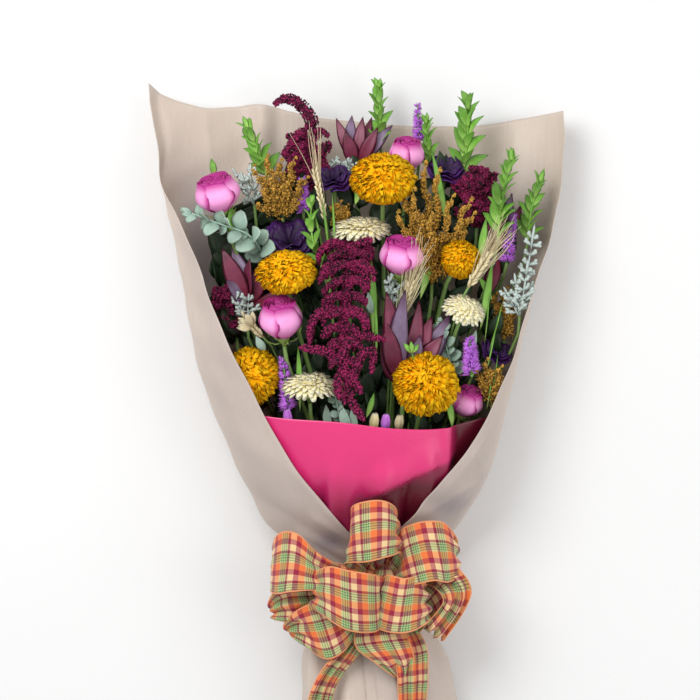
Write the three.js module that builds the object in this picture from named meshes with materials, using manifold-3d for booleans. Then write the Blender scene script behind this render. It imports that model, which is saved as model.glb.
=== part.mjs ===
// A mixed flower bouquet in a kraft paper wrapper with a pink inner paper and a plaid ribbon bow.
// It lies on its back: +Y runs from the tie to the flower heads, +Z is up, and the origin is on
// the surface that it lies on, in the flat of the wrapper's back under the weight. Millimetres.
import * as THREE from 'three';
import Module from 'manifold-3d';

const wasm = await Module();
wasm.setup();

// Scale: the ribbon is a 63.5 mm wired ribbon and spans 58 pixels of the photograph.
const MM_PER_PIXEL = 1.1;
const ZERO_PIXEL = [386, 340];
const GAP = 0.35;

const KRAFT_THICKNESS = 1.0;
const KRAFT_COLUMNS = 18;
const KRAFT_ROWS = [150, 205, 260, 320, 380, 435, 480, 515, 543, 562, 579, 591, 612, 650, 705, 762];
const KRAFT_OVERLAP_STEP = 2.8;
const PINK_THICKNESS = 0.9;
const PINK_COLUMNS = 12;
const PINK_ROWS = [450, 485, 515, 543, 562, 579, 591];
const PINK_INSET = 7.5;
const PINK_INSET_AT_NECK = 1.9;
const PINK_ANGLES = [192, -12];

const NECK_PIXEL_Y = 585;
const NECK_HEIGHT = 30;
const NECK_LENGTH = 16;
const BUNDLE_RADIUS = 17.6;
const CUT_END_PIXEL_Y = 694;
const TIE_INNER = 18;
const TIE_THICKNESS = 2.6;
const WIRE_INNER = 27.6;
const WIRE_THICKNESS = 1.8;
const WIRE_LENGTH = 4;

const RIBBON_THICKNESS = 1.2;
const BOW_PIXEL = [385, 580];
const BOW_HEIGHT = 82;

const mm = (pixelX, pixelY, height = 0) => new THREE.Vector3(
  (pixelX - ZERO_PIXEL[0]) * MM_PER_PIXEL, (ZERO_PIXEL[1] - pixelY) * MM_PER_PIXEL, height);
const radians = THREE.MathUtils.degToRad;
const mix = THREE.MathUtils.lerp;

function seeded(seed) {
  let state = seed * 2654435761 >>> 0;
  return (low, high) => {
    state = (state + 0x6D2B79F5) >>> 0;
    let word = Math.imul(state ^ (state >>> 15), 1 | state);
    word = (word + Math.imul(word ^ (word >>> 7), 61 | word)) ^ word;
    return low + (high - low) * (((word ^ (word >>> 14)) >>> 0) / 4294967296);
  };
}

// A closed mesh becomes a solid; its triangles are turned round where they face inwards.
function solid(points, triangles) {
  let volume = 0;
  for (const [a, b, c] of triangles) {
    volume += points[a].dot(points[b].clone().cross(points[c]));
  }
  const ordered = volume < 0 ? triangles.map(([a, b, c]) => [a, c, b]) : triangles;
  return new wasm.Manifold(new wasm.Mesh({
    numProp: 3,
    vertProperties: new Float32Array(points.flatMap((point) => [point.x, point.y, point.z])),
    triVerts: new Uint32Array(ordered.flat()),
  }));
}

// A blade is a grid of points, point(along, across), whose rim is sharp and whose inside is
// thick. A row where the width closes is one point. Both faces have the same triangles.
function blade(point, rows, columns, thickness, pointedRoot = true, pointedTip = true) {
  const points = [];
  const known = new Map();
  const closed = (row) => (row === 0 && pointedRoot) || (row === rows && pointedTip);
  const inside = (row, column) => row > 0 && row < rows && column > 0 && column < columns;
  const vertex = (row, column, side) => {
    const key = closed(row) ? `${row}` : `${row},${column},${inside(row, column) ? side : 0}`;
    if (!known.has(key)) {
      const along = row / rows;
      const across = closed(row) ? 0 : column / columns * 2 - 1;
      const place = point(along, across);
      if (inside(row, column)) {
        const step = 0.05;
        const alongEdge = point(along + step, across).sub(point(along - step, across));
        const acrossEdge = point(along, across + step).sub(point(along, across - step));
        place.addScaledVector(alongEdge.cross(acrossEdge).normalize(), side * thickness / 2);
      }
      known.set(key, points.length);
      points.push(place);
    }
    return known.get(key);
  };
  const triangles = [];
  for (let row = 0; row < rows; row += 1) {
    for (let column = 0; column < columns; column += 1) {
      const acrossCorner = inside(row + 1, column) || inside(row, column + 1);
      const straightCorner = inside(row, column) || inside(row + 1, column + 1);
      for (const side of [1, -1]) {
        const a = vertex(row, column, side);
        const b = vertex(row + 1, column, side);
        const c = vertex(row + 1, column + 1, side);
        const d = vertex(row, column + 1, side);
        const pair = acrossCorner && !straightCorner ? [[a, b, d], [b, c, d]] : [[a, b, c], [a, c, d]];
        for (const [p, q, r] of pair) {
          if (p !== q && q !== r && r !== p) triangles.push(side > 0 ? [p, q, r] : [p, r, q]);
        }
      }
    }
  }
  return solid(points, triangles);
}

// A sheet of even thickness: point(row, column) is its outer face, and the inner face lies
// inwards of it by the thickness.
function sheet(point, rows, columns, thickness, inwards) {
  const points = [];
  for (const depth of [0, thickness]) {
    for (let row = 0; row <= rows; row += 1) {
      for (let column = 0; column <= columns; column += 1) {
        const place = point(row, column);
        if (depth > 0) {
          const [above, below] = [Math.max(row - 1, 0), Math.min(row + 1, rows)];
          const [before, after] = [Math.max(column - 1, 0), Math.min(column + 1, columns)];
          const rowStep = point(below, column).sub(point(above, column));
          const columnStep = point(row, after).sub(point(row, before));
          place.addScaledVector(rowStep.cross(columnStep).normalize(), inwards * depth);
        }
        points.push(place);
      }
    }
  }
  const layer = (rows + 1) * (columns + 1);
  const index = (row, column) => row * (columns + 1) + column;
  const triangles = [];
  const quad = (a, b, c, d) => triangles.push([a, b, c], [a, c, d]);
  for (let row = 0; row < rows; row += 1) {
    for (let column = 0; column < columns; column += 1) {
      const corners = [[row, column], [row + 1, column], [row + 1, column + 1], [row, column + 1]]
        .map((place) => index(...place));
      quad(...corners);
      triangles.push([corners[0], corners[2], corners[1]].map((corner) => corner + layer));
      triangles.push([corners[0], corners[3], corners[2]].map((corner) => corner + layer));
    }
  }
  for (let row = 0; row < rows; row += 1) {
    quad(index(row, 0), index(row, 0) + layer, index(row + 1, 0) + layer, index(row + 1, 0));
    quad(index(row + 1, columns), index(row + 1, columns) + layer,
      index(row, columns) + layer, index(row, columns));
  }
  for (let column = 0; column < columns; column += 1) {
    quad(index(0, column + 1), index(0, column + 1) + layer, index(0, column) + layer, index(0, column));
    quad(index(rows, column), index(rows, column) + layer,
      index(rows, column + 1) + layer, index(rows, column + 1));
  }
  return solid(points, triangles);
}

// The way that a path runs at one of its points.
const headingAt = (path, step) => path[Math.min(step + 1, path.length - 1)].clone()
  .sub(path[Math.max(step - 1, 0)]).normalize();

// A rod through the points, with its own radius at each and few sides; relief makes every
// second corner stand out or sink back.
function rod(path, radii, sides, relief = 0) {
  const points = [];
  const triangles = [];
  let side = new THREE.Vector3(1, 0, 0);
  path.forEach((place, ring) => {
    const ahead = headingAt(path, ring);
    side = Math.abs(side.dot(ahead)) > 0.95 ? new THREE.Vector3(0, 1, 0.3) : side;
    side = side.clone().addScaledVector(ahead, -side.dot(ahead)).normalize();
    const up = ahead.clone().cross(side);
    for (let corner = 0; corner < sides; corner += 1) {
      const angle = 2 * Math.PI * (corner + 0.5) / sides;
      const swell = 1 + ((ring + corner) % 2 ? relief : -relief);
      points.push(place.clone()
        .addScaledVector(side, radii[ring] * swell * Math.cos(angle))
        .addScaledVector(up, radii[ring] * swell * Math.sin(angle)));
    }
  });
  for (let ring = 0; ring < path.length - 1; ring += 1) {
    for (let corner = 0; corner < sides; corner += 1) {
      const a = ring * sides + corner;
      const b = ring * sides + (corner + 1) % sides;
      triangles.push([a, b, b + sides], [a, b + sides, a + sides]);
    }
  }
  const last = (path.length - 1) * sides;
  for (let corner = 1; corner < sides - 1; corner += 1) {
    triangles.push([0, corner + 1, corner], [last, last + corner, last + corner + 1]);
  }
  return solid(points, triangles);
}

// A three-sided spike from its root to its tip.
function spike(root, tip, radius) {
  const ahead = tip.clone().sub(root).normalize();
  const side = new THREE.Vector3(0.31, 0.17, 0.94).cross(ahead).normalize();
  const up = ahead.clone().cross(side);
  const corners = [0, 1, 2].map((corner) => root.clone()
    .addScaledVector(side, radius * Math.cos(corner * 2.0944))
    .addScaledVector(up, radius * Math.sin(corner * 2.0944)));
  return solid([...corners, tip.clone()], [[0, 2, 1], [0, 1, 3], [1, 2, 3], [2, 0, 3]]);
}

// A turned form closed at both ends on its axis. Each ring has its radius and height, and where
// it is the rim of a layer of petals, their count, how far each stands out at one edge over
// the next, how far its middle rises, where the first petal starts and how deep they part.
function turned(rings, sides) {
  const points = [];
  for (const { radius, height, petals = 0, out = 0, up = 0, start = 0, notch = 0 } of rings) {
    for (let corner = 0; corner < sides; corner += 1) {
      const angle = 2 * Math.PI * corner / sides;
      const share = petals ? (corner / sides * petals + start) % 1 : 0;
      const swell = petals ? out * (1 - 2 * share) + out * Math.sin(Math.PI * share) : 0;
      const rise = petals ? up * (2 * Math.sin(Math.PI * share) - 1) : 0;
      const reach = radius * (1 + swell) * (petals && Math.min(share, 1 - share) < 0.2 ? 1 - notch : 1);
      points.push(new THREE.Vector3(reach * Math.cos(angle), reach * Math.sin(angle), height + rise));
    }
  }
  const bottom = points.length;
  const top = rings[rings.length - 1];
  points.push(new THREE.Vector3(0, 0, rings[0].height), new THREE.Vector3(0, 0, top.height));
  const triangles = [];
  for (let corner = 0; corner < sides; corner += 1) {
    const next = (corner + 1) % sides;
    for (let ring = 0; ring < rings.length - 1; ring += 1) {
      const a = ring * sides + corner;
      const b = ring * sides + next;
      triangles.push([a, b, b + sides], [a, b + sides, a + sides]);
    }
    const last = (rings.length - 1) * sides;
    triangles.push([bottom, next, corner], [bottom + 1, last + corner, last + next]);
  }
  return solid(points, triangles);
}

const placed = [];
const bouquet = new THREE.Group();

function show(name, body, colour, roughness) {
  const mesh = body.getMesh();
  const geometry = new THREE.BufferGeometry();
  geometry.setAttribute('position', new THREE.BufferAttribute(new Float32Array(mesh.vertProperties), 3));
  geometry.setIndex(new THREE.BufferAttribute(new Uint32Array(mesh.triVerts), 1));
  geometry.computeVertexNormals();
  const finish = new THREE.MeshStandardMaterial({ color: colour, roughness, metalness: 0 });
  const piece = new THREE.Mesh(geometry, finish);
  piece.name = name;
  bouquet.add(piece);
  placed.push({ name, body, box: body.boundingBox() });
}

function near(box, other, distance) {
  const overlaps = (side) => box.min[side] - distance < other.max[side]
    && other.min[side] - distance < box.max[side];
  return [0, 1, 2].every(overlaps);
}

function clear(body, neighbours) {
  const box = body.boundingBox();
  const apart = (other) => body.minGap(other.body, GAP) >= GAP * 0.99;
  return neighbours.every((other) => !near(box, other.box, GAP) || apart(other));
}

// What presses against an earlier head is dented by it: the neighbour, made larger by the
// dent about its own middle, is taken away.
const DENT = 2.4 * GAP;

function dented(body, neighbours) {
  const box = body.boundingBox();
  const presses = (other) => body.minGap(other.body, GAP) < GAP / 2;
  const pressing = neighbours.filter((other) => near(box, other.box, GAP) && presses(other));
  return pressing.reduce((rest, other) => {
    const middle = [0, 1, 2].map((side) => (other.box.min[side] + other.box.max[side]) / 2);
    const factor = [0, 1, 2].map((side) => 1 + DENT / (other.box.max[side] - other.box.min[side]));
    const grown = other.body.translate(middle.map((value) => -value)).scale(factor).translate(middle);
    return rest.subtract(grown);
  }, body);
}

function largest(body) {
  const parts = body.decompose();
  return parts.reduce((best, part) => (part.volume() > best.volume() ? part : best), parts[0]);
}

// The wrapper's section at each height of the photograph: the left and right silhouettes in
// pixels, the angles of its two front edges in degrees (90 is the front, 180 the left side),
// the height of its middle and half its depth in mm, and how square its back is.
const WRAPPER_STATIONS = [
  { pixelY: 100, left: 143, right: 569, leftEdge: 191, rightEdge: -11, middle: 80, half: 88, square: 0.6 },
  { pixelY: 150, left: 155, right: 568, leftEdge: 188, rightEdge: -8, middle: 80, half: 88, square: 0.6 },
  { pixelY: 215, left: 168, right: 556, leftEdge: 163, rightEdge: -3, middle: 80, half: 87, square: 0.6 },
  { pixelY: 300, left: 186, right: 533, leftEdge: 149, rightEdge: 10, middle: 80, half: 86, square: 0.6 },
  { pixelY: 380, left: 201, right: 513, leftEdge: 135, rightEdge: 20, middle: 79, half: 85, square: 0.6 },
  { pixelY: 440, left: 226, right: 500, leftEdge: 128, rightEdge: 37, middle: 73, half: 78, square: 0.62 },
  { pixelY: 490, left: 248, right: 482, leftEdge: 116, rightEdge: 54, middle: 61, half: 65, square: 0.7 },
  { pixelY: 530, left: 272, right: 453, leftEdge: 100, rightEdge: 66, middle: 47, half: 49, square: 0.8 },
  { pixelY: 560, left: 318, right: 428, leftEdge: 90, rightEdge: 84, middle: 36, half: 33, square: 0.9 },
  { pixelY: 579, left: 356, right: 400, leftEdge: 84, rightEdge: 100, middle: 30, half: 24.2, square: 1 },
  { pixelY: 591, left: 356, right: 400, leftEdge: 84, rightEdge: 100, middle: 30, half: 24.2, square: 1 },
  { pixelY: 612, left: 330, right: 412, leftEdge: 80, rightEdge: 100, middle: 33, half: 30, square: 1 },
  { pixelY: 645, left: 308, right: 436, leftEdge: 76, rightEdge: 100, middle: 38, half: 38, square: 0.9 },
  { pixelY: 700, left: 304, right: 453, leftEdge: 74, rightEdge: 100, middle: 42, half: 43, square: 0.8 },
  { pixelY: 765, left: 303, right: 458, leftEdge: 74, rightEdge: 100, middle: 44, half: 46, square: 0.8 },
];
const STATION_KEYS = ['left', 'right', 'leftEdge', 'rightEdge', 'middle', 'half', 'square'];
const stationCurve = new THREE.CubicInterpolant(
  WRAPPER_STATIONS.map((station) => station.pixelY),
  WRAPPER_STATIONS.flatMap((station) => STATION_KEYS.map((key) => station[key])),
  STATION_KEYS.length);

function wrapperSection(pixelY) {
  const values = stationCurve.evaluate(Math.max(pixelY, WRAPPER_STATIONS[0].pixelY));
  return Object.fromEntries(STATION_KEYS.map((key, place) => [key, values[place]]));
}

function wrapperPoint(pixelY, angle, inset, floor) {
  const section = wrapperSection(pixelY);
  const sine = Math.sin(angle);
  const bend = sine < 0 ? -(Math.abs(sine) ** section.square) : sine;
  const place = mm((section.left + section.right) / 2, pixelY);
  place.x += ((section.right - section.left) / 2 * MM_PER_PIXEL - inset) * Math.cos(angle);
  place.z = Math.max(section.middle + (section.half - inset) * bend, floor);
  return place;
}

// The kraft wrapper: one sheet round the back and both sides, its front edges meeting over
// the neck, the left one on top. Its top edge rises to the left corner.
const KRAFT_TOP = new THREE.SplineCurve([
  [145, 80], [167, 95], [205, 105], [255, 102], [315, 114], [394, 122], [482, 122], [525, 115], [565, 108],
].map(([x, y]) => new THREE.Vector2(x, y)));

function kraftBody() {
  const point = (row, column) => {
    const share = column / KRAFT_COLUMNS;
    const topPixelY = KRAFT_TOP.getPoint(share).y;
    const pixelY = row === 0 ? topPixelY : KRAFT_ROWS[row - 1];
    const section = wrapperSection(pixelY);
    const angle = radians(mix(section.leftEdge, 360 + section.rightEdge, share));
    const lap = THREE.MathUtils.smoothstep(pixelY, 530, 572) * KRAFT_OVERLAP_STEP * (1 - share);
    return wrapperPoint(pixelY, angle, -lap, 0);
  };
  return sheet(point, KRAFT_ROWS.length, KRAFT_COLUMNS, KRAFT_THICKNESS, 1);
}

// The pink inner paper: a sheet round the front of the stems, inside the kraft wrapper.
const PINK_TOP = new THREE.SplineCurve([
  [236, 408], [266, 415], [344, 422], [395, 428], [448, 427], [480, 417],
].map(([x, y]) => new THREE.Vector2(x, y)));

function pinkBody() {
  const point = (row, column) => {
    const share = column / PINK_COLUMNS;
    const pixelY = row === 0 ? PINK_TOP.getPoint(share).y : PINK_ROWS[row - 1];
    const angle = radians(mix(PINK_ANGLES[0], PINK_ANGLES[1], share));
    const inset = mix(PINK_INSET, PINK_INSET_AT_NECK, THREE.MathUtils.smoothstep(pixelY, 540, 579));
    return wrapperPoint(pixelY, angle, inset, 3);
  };
  return sheet(point, PINK_ROWS.length, PINK_COLUMNS, PINK_THICKNESS, -1);
}

const NECK = WRAPPER_STATIONS.find((station) => station.pixelY === 579);
const neckCentre = () => mm((NECK.left + NECK.right) / 2, NECK_PIXEL_Y, NECK_HEIGHT);

// Rings round the neck: the twine that binds the stems and the wire that holds the bow. The
// margin makes the ring larger all round, for the room that it needs in another piece.
function neckRing(inner, thickness, length, margin) {
  const sides = 16;
  const fit = 1 / Math.cos(Math.PI / sides);
  const points = [];
  const triangles = [];
  const centre = neckCentre();
  const outer = inner + thickness + margin;
  const end = length / 2 + margin;
  const rim = [[inner - margin, -end], [outer, -end], [outer, end], [inner - margin, end]];
  for (let corner = 0; corner < sides; corner += 1) {
    const angle = 2 * Math.PI * corner / sides;
    for (const [radius, along] of rim) {
      const reach = radius * fit;
      points.push(new THREE.Vector3(reach * Math.cos(angle), along, reach * Math.sin(angle)).add(centre));
    }
  }
  for (let corner = 0; corner < sides; corner += 1) {
    for (let side = 0; side < rim.length; side += 1) {
      const a = corner * rim.length + side;
      const b = corner * rim.length + (side + 1) % rim.length;
      const c = ((corner + 1) % sides) * rim.length + (side + 1) % rim.length;
      const d = ((corner + 1) % sides) * rim.length + side;
      triangles.push([a, b, c], [a, c, d]);
    }
  }
  return solid(points, triangles);
}

// The bow: one wired ribbon folded into nine loops round a knot, with two tails. Each loop
// is given by the routes of its two edges: pixel column, pixel row and height in mm. The
// ribbon is its full width where it shows and is drawn together at the knot.
const BOW_LOOPS = [
  [[[380, 570, 90], [362, 530, 98], [351, 508, 118], [368, 500, 131], [387, 501, 127], [397, 513, 110],
    [388, 545, 92], [388, 570, 88]],
  [[382, 586, 90], [360, 574, 98], [344, 563, 116], [368, 560, 135], [392, 554, 131], [401, 552, 112],
    [392, 570, 94], [388, 588, 88]]],
  [[[386, 568, 92], [397, 534, 104], [413, 523, 120], [432, 520, 127], [446, 524, 119], [457, 545, 100],
    [425, 560, 88], [392, 572, 86]],
  [[390, 588, 92], [400, 585, 106], [415, 583, 125], [434, 579, 131], [448, 581, 121], [459, 575, 100],
    [420, 582, 86], [392, 592, 84]]],
  [[[380, 572, 92], [345, 566, 104], [318, 552, 118], [298, 533, 124], [281, 532, 112], [275, 545, 92],
    [305, 556, 84], [378, 572, 82]],
  [[380, 592, 92], [350, 594, 106], [320, 589, 122], [293, 590, 128], [276, 593, 113], [272, 590, 94],
    [300, 592, 84], [378, 590, 80]]],
  [[[380, 574, 98], [382, 576, 113], [373, 573, 130], [350, 569, 139], [329, 565, 134], [317, 573, 112],
    [345, 580, 94], [380, 580, 90]],
  [[378, 604, 98], [380, 627, 111], [366, 631, 127], [345, 627, 135], [324, 614, 129], [313, 605, 110],
    [345, 610, 92], [378, 600, 88]]],
  [[[386, 576, 98], [382, 577, 110], [389, 574, 122], [404, 577, 129], [417, 576, 122], [426, 585, 104],
    [405, 586, 92], [386, 584, 90]],
  [[386, 602, 98], [378, 624, 109], [386, 630, 121], [404, 631, 128], [420, 626, 120], [430, 616, 104],
    [405, 608, 92], [388, 600, 88]]],
  [[[390, 572, 86], [440, 556, 98], [462, 572, 112], [471, 590, 110], [464, 610, 106], [451, 630, 100],
    [441, 641, 91], [441, 612, 82], [425, 592, 80], [390, 582, 79]],
  [[390, 592, 86], [425, 584, 100], [438, 590, 118], [443, 600, 118], [436, 612, 110], [427, 622, 104],
    [418, 632, 93], [406, 622, 82], [400, 608, 80], [386, 598, 79]]],
  [[[380, 576, 84], [320, 583, 96], [288, 585, 102], [272, 594, 97], [271, 608, 88], [300, 604, 80],
    [378, 584, 78]],
  [[380, 598, 84], [332, 618, 94], [302, 622, 100], [282, 621, 95], [274, 618, 87], [312, 616, 79],
    [380, 600, 78]]],
  [[[380, 586, 88], [345, 600, 102], [320, 601, 113], [303, 606, 111], [287, 619, 98], [286, 630, 88],
    [320, 630, 80], [378, 600, 78]],
  [[384, 602, 88], [357, 634, 100], [342, 652, 107], [325, 658, 105], [305, 645, 96], [291, 633, 88],
    [325, 645, 80], [382, 602, 80]]],
  [[[390, 596, 88], [402, 625, 102], [411, 645, 108], [414, 662, 101], [408, 675, 92], [398, 650, 86],
    [390, 600, 80]],
  [[376, 598, 88], [357, 626, 104], [356, 646, 110], [374, 661, 108], [397, 677, 95], [382, 652, 86],
    [380, 600, 80]]],
];
const BOW_TAILS = [
  [[[378, 594, 90], [345, 640, 98], [323, 668, 99], [311, 690, 98], [304, 714, 97]],
  [[388, 602, 88], [360, 652, 93], [343, 674, 91], [334, 692, 92], [330, 716, 94]]],
  [[[382, 598, 90], [394, 646, 97], [397, 672, 101], [398, 692, 100], [399, 716, 99]],
  [[392, 594, 88], [424, 640, 93], [428, 668, 97], [427, 692, 97], [425, 716, 97]]],
];
const LOOP_STEPS = 11;
const TAIL_STEPS = 4;
// The knot: its post stands on the wire, and its roll lies across the post. Radius and height
// above the post's middle, then the roll's radii and its ends.
const KNOT_POST = [[2, -24], [12, -20], [14, 0], [12, 24], [2, 28]];
const KNOT_ROLL = { radii: [8, 14, 14, 8], rows: [562, 572, 598, 608], pixelX: 385, height: 88 };

// A strip of ribbon between the routes of its two edges.
function ribbonStrip(edges, steps, thickness) {
  const [one, other] = edges.map((route) => (
    new THREE.CatmullRomCurve3(route.map((place) => mm(...place))).getSpacedPoints(steps)));
  const points = [];
  const triangles = [];
  one.forEach((place, ring) => {
    const across = other[ring].clone().sub(place);
    const face = headingAt(one, ring).add(headingAt(other, ring)).cross(across).normalize();
    for (const [edge, level] of [[place, -0.5], [other[ring], -0.5], [other[ring], 0.5], [place, 0.5]]) {
      points.push(edge.clone().addScaledVector(face, level * thickness));
    }
  });
  for (let ring = 0; ring < steps; ring += 1) {
    for (let corner = 0; corner < 4; corner += 1) {
      const a = ring * 4 + corner;
      const b = ring * 4 + (corner + 1) % 4;
      triangles.push([a, b, b + 4], [a, b + 4, a + 4]);
    }
  }
  const last = steps * 4;
  triangles.push([0, 2, 1], [0, 3, 2], [last, last + 1, last + 2], [last, last + 2, last + 3]);
  return solid(points, triangles);
}

function bowBody() {
  const middle = mm(...BOW_PIXEL, BOW_HEIGHT);
  const post = turned(KNOT_POST.map(([radius, height]) => ({ radius, height })), 7)
    .translate([middle.x, middle.y, middle.z]);
  const axis = KNOT_ROLL.rows.map((row) => mm(KNOT_ROLL.pixelX, row, KNOT_ROLL.height));
  const roll = rod(axis, KNOT_ROLL.radii, 7);
  const loops = BOW_LOOPS.map((edges) => ribbonStrip(edges, LOOP_STEPS, RIBBON_THICKNESS));
  const tails = BOW_TAILS.map((edges) => ribbonStrip(edges, TAIL_STEPS, RIBBON_THICKNESS));
  const bow = wasm.Manifold.union([post, roll, ...loops, ...tails]);
  return largest(bow.subtract(neckRing(WIRE_INNER, WIRE_THICKNESS, WIRE_LENGTH, GAP)));
}

// Every flower, spike, spray and leafy sprig. pixel is the middle of the head or its foot in
// the photograph, height its place above the surface, and facing the way it opens.
const ROSES = [
  { pixel: [218, 195], height: 96, facing: [-0.25, 0.9, 0.35], radius: 27 },
  { pixel: [401, 258], height: 122, facing: [0.05, 0.92, 0.38], radius: 26 },
  { pixel: [282, 322], height: 130, facing: [-0.1, 0.9, 0.42], radius: 26 },
  { pixel: [407, 156], height: 68, facing: [0.05, 0.9, 0.35], radius: 21 },
  { pixel: [466, 404], height: 90, facing: [0.3, 0.8, 0.45], radius: 20 },
];
const MARIGOLDS = [
  { pixel: [383, 181], height: 108, facing: [0, 0.66, 0.75], radius: 38 },
  { pixel: [287, 274], height: 127, facing: [-0.1, 0.72, 0.68], radius: 35 },
  { pixel: [251, 377], height: 96, facing: [-0.25, 0.35, 0.9], radius: 33 },
  { pixel: [425, 385], height: 136, facing: [0.08, 0.5, 0.86], radius: 39 },
  { pixel: [460, 261], height: 104, facing: [0.4, 0.6, 0.68], radius: 24 },
];
const MUMS = [
  { pixel: [361, 232], height: 92, facing: [0, 0.93, 0.36], radius: 33 },
  { pixel: [310, 388], height: 122, facing: [0, 0.86, 0.5], radius: 31 },
  { pixel: [463, 311], height: 116, facing: [0.25, 0.72, 0.65], radius: 24 },
];
const LISIANTHUS = [
  { pixel: [290, 242], height: 72, facing: [-0.1, 0.66, 0.75], radius: 28 },
  { pixel: [333, 179], height: 72, facing: [-0.1, 0.8, 0.6], radius: 20 },
  { pixel: [446, 169], height: 58, facing: [0.1, 0.8, 0.6], radius: 20 },
  { pixel: [497, 351], height: 74, facing: [0.4, 0.7, 0.6], radius: 17 },
];
const AMARANTHS = [
  { foot: [344, 250, 96], radius: 9, fingers: [
    [[344, 242, 104], [352, 262, 130], [350, 300, 142], [347, 350, 146], [348, 385, 148]],
    [[347, 252, 119], [327, 285, 136], [319, 325, 146], [307, 356, 145]],
    [[349, 254, 121], [366, 270, 130], [366, 300, 138]],
    [[345, 300, 140], [322, 325, 148], [313, 346, 151]],
    [[348, 320, 140], [368, 335, 146], [384, 342, 146]],
    [[348, 350, 144], [366, 372, 148], [372, 386, 148]],
    [[348, 372, 146], [346, 400, 150], [354, 417, 148]],
    [[344, 360, 146], [335, 380, 152], [333, 392, 153]],
  ] },
  { foot: [312, 188, 42], radius: 9, fingers: [
    [[312, 187.5, 42], [308, 165, 54], [305, 140, 60], [312, 122, 62], [300, 103, 62], [284, 97, 60],
      [274, 104, 58]],
    [[312, 172, 52], [294, 158, 58], [282, 150, 58]],
    [[310, 165, 54], [324, 148, 60], [331, 142, 60]],
    [[309, 158, 56], [292, 138, 62], [287, 133, 62]],
  ] },
  { foot: [478, 225, 50], radius: 8, fingers: [
    [[478, 225, 50], [477, 205, 62], [476, 185, 68], [478, 167, 70]],
    [[477, 205, 62], [462, 190, 66], [452, 180, 66]],
    [[476, 195, 66], [490, 180, 66], [497, 172, 66]],
  ] },
  { foot: [236, 335, 56], radius: 7, fingers: [
    [[236, 335, 56], [228, 315, 66], [223, 300, 68], [219, 288, 66]],
    [[230, 318, 64], [236, 302, 68], [234, 292, 68]],
  ] },
];
const LEUCADENDRONS = [
  { foot: [357, 170, 40], width: 9, tips: [
    [336, 116, 40], [352, 113, 32], [363, 115, 44], [372, 115, 34], [393, 123, 40], [345, 130, 52],
    [378, 126, 52]] },
  { foot: [403, 395, 92], width: 12, tips: [
    [386, 292, 108], [408, 290, 100], [419, 300, 110], [432, 316, 104], [450, 314, 96], [380, 345, 118],
    [398, 320, 126], [420, 335, 120]] },
  { foot: [250, 312, 66], width: 10, tips: [
    [222, 248, 86], [232, 246, 74], [250, 258, 84], [262, 260, 72], [226, 280, 88]] },
  { foot: [500, 262, 52], width: 9, tips: [
    [500, 189, 60], [513, 192, 54], [523, 202, 60], [488, 205, 62], [483, 262, 66], [484, 225, 70]] },
];
const LIATRIS = [
  { foot: [420, 140, 38], tip: [418, 102, 42], radius: 6.5 },
  { foot: [303, 212, 62], tip: [302, 177, 72], radius: 7.5 },
  { foot: [507, 264, 74], tip: [514, 214, 76], radius: 6.5 },
  { foot: [471, 382, 124], tip: [469, 338, 126], radius: 7 },
  { foot: [289, 412, 108], tip: [283, 358, 112], radius: 7.5 },
];
const BRONZE_SPRAYS = [
  { foot: [282, 212, 58], tips: [
    [252, 166, 70], [266, 156, 78], [280, 160, 66], [294, 158, 76], [306, 178, 78], [262, 190, 84],
    [300, 200, 84]] },
  { foot: [432, 285, 76], tips: [
    [398, 178, 118], [412, 190, 124], [438, 170, 100], [452, 196, 112], [470, 200, 104], [474, 213, 96],
    [430, 215, 126]] },
  { foot: [493, 402, 84], tips: [
    [474, 366, 104], [485, 360, 106], [500, 367, 102], [497, 385, 104]] },
  { foot: [505, 340, 60], tips: [
    [495, 294, 66], [506, 288, 70], [515, 302, 66]] },
  { foot: [343, 230, 62], tips: [
    [332, 206, 70], [339, 202, 76], [347, 205, 70]] },
];
const WHEAT = [
  { foot: [326, 222, 96], tip: [315, 172, 102], awns: 40, seed: 91 },
  { foot: [397, 335, 132], tip: [412, 285, 136], awns: 44, seed: 92 },
  { foot: [462, 298, 128], tip: [486, 258, 124], awns: 40, seed: 93 },
  { foot: [264, 338, 96], tip: [244, 318, 104], awns: 16, seed: 94 },
];
const EUCALYPTUS = [
  { foot: [268, 262, 62], tip: [188, 208, 84], leaf: 13, pairs: 7, seed: 101 },
  { foot: [454, 374, 82], tip: [437, 325, 96], leaf: 11, pairs: 5, seed: 102 },
  { foot: [343, 432, 110], tip: [333, 388, 118], leaf: 10, pairs: 4, seed: 103 },
];
const DUSTY_MILLER = [
  { foot: [520, 318, 84], tips: [[535, 222, 90], [528, 258, 102], [503, 286, 92]] },
  { foot: [254, 206, 54], tips: [[231, 166, 66], [250, 162, 70]] },
  { foot: [345, 178, 44], tips: [[331, 157, 56], [352, 157, 56]] },
  { foot: [247, 322, 76], tips: [[233, 291, 84], [249, 293, 88]] },
  { foot: [392, 305, 104], tips: [[388, 275, 118], [402, 280, 106]] },
];
const SPRIGS = [
  { foot: [381, 146, 38], tip: [379, 83, 42], leaf: 15, seed: 121 },
  { foot: [433, 172, 44], tip: [427, 120, 54], leaf: 15, seed: 122 },
  { foot: [463, 176, 44], tip: [469, 99, 52], leaf: 20, seed: 123 },
  { foot: [498, 240, 78], tip: [512, 157, 84], leaf: 20, seed: 124 },
  { foot: [528, 244, 62], tip: [541, 178, 68], leaf: 16, seed: 125 },
  { foot: [267, 178, 48], tip: [246, 125, 58], leaf: 16, seed: 126 },
  { foot: [322, 268, 96], tip: [311, 200, 98], leaf: 13, seed: 127 },
];

const facingOf = (head) => new THREE.Vector3(...head.facing).normalize();

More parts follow.
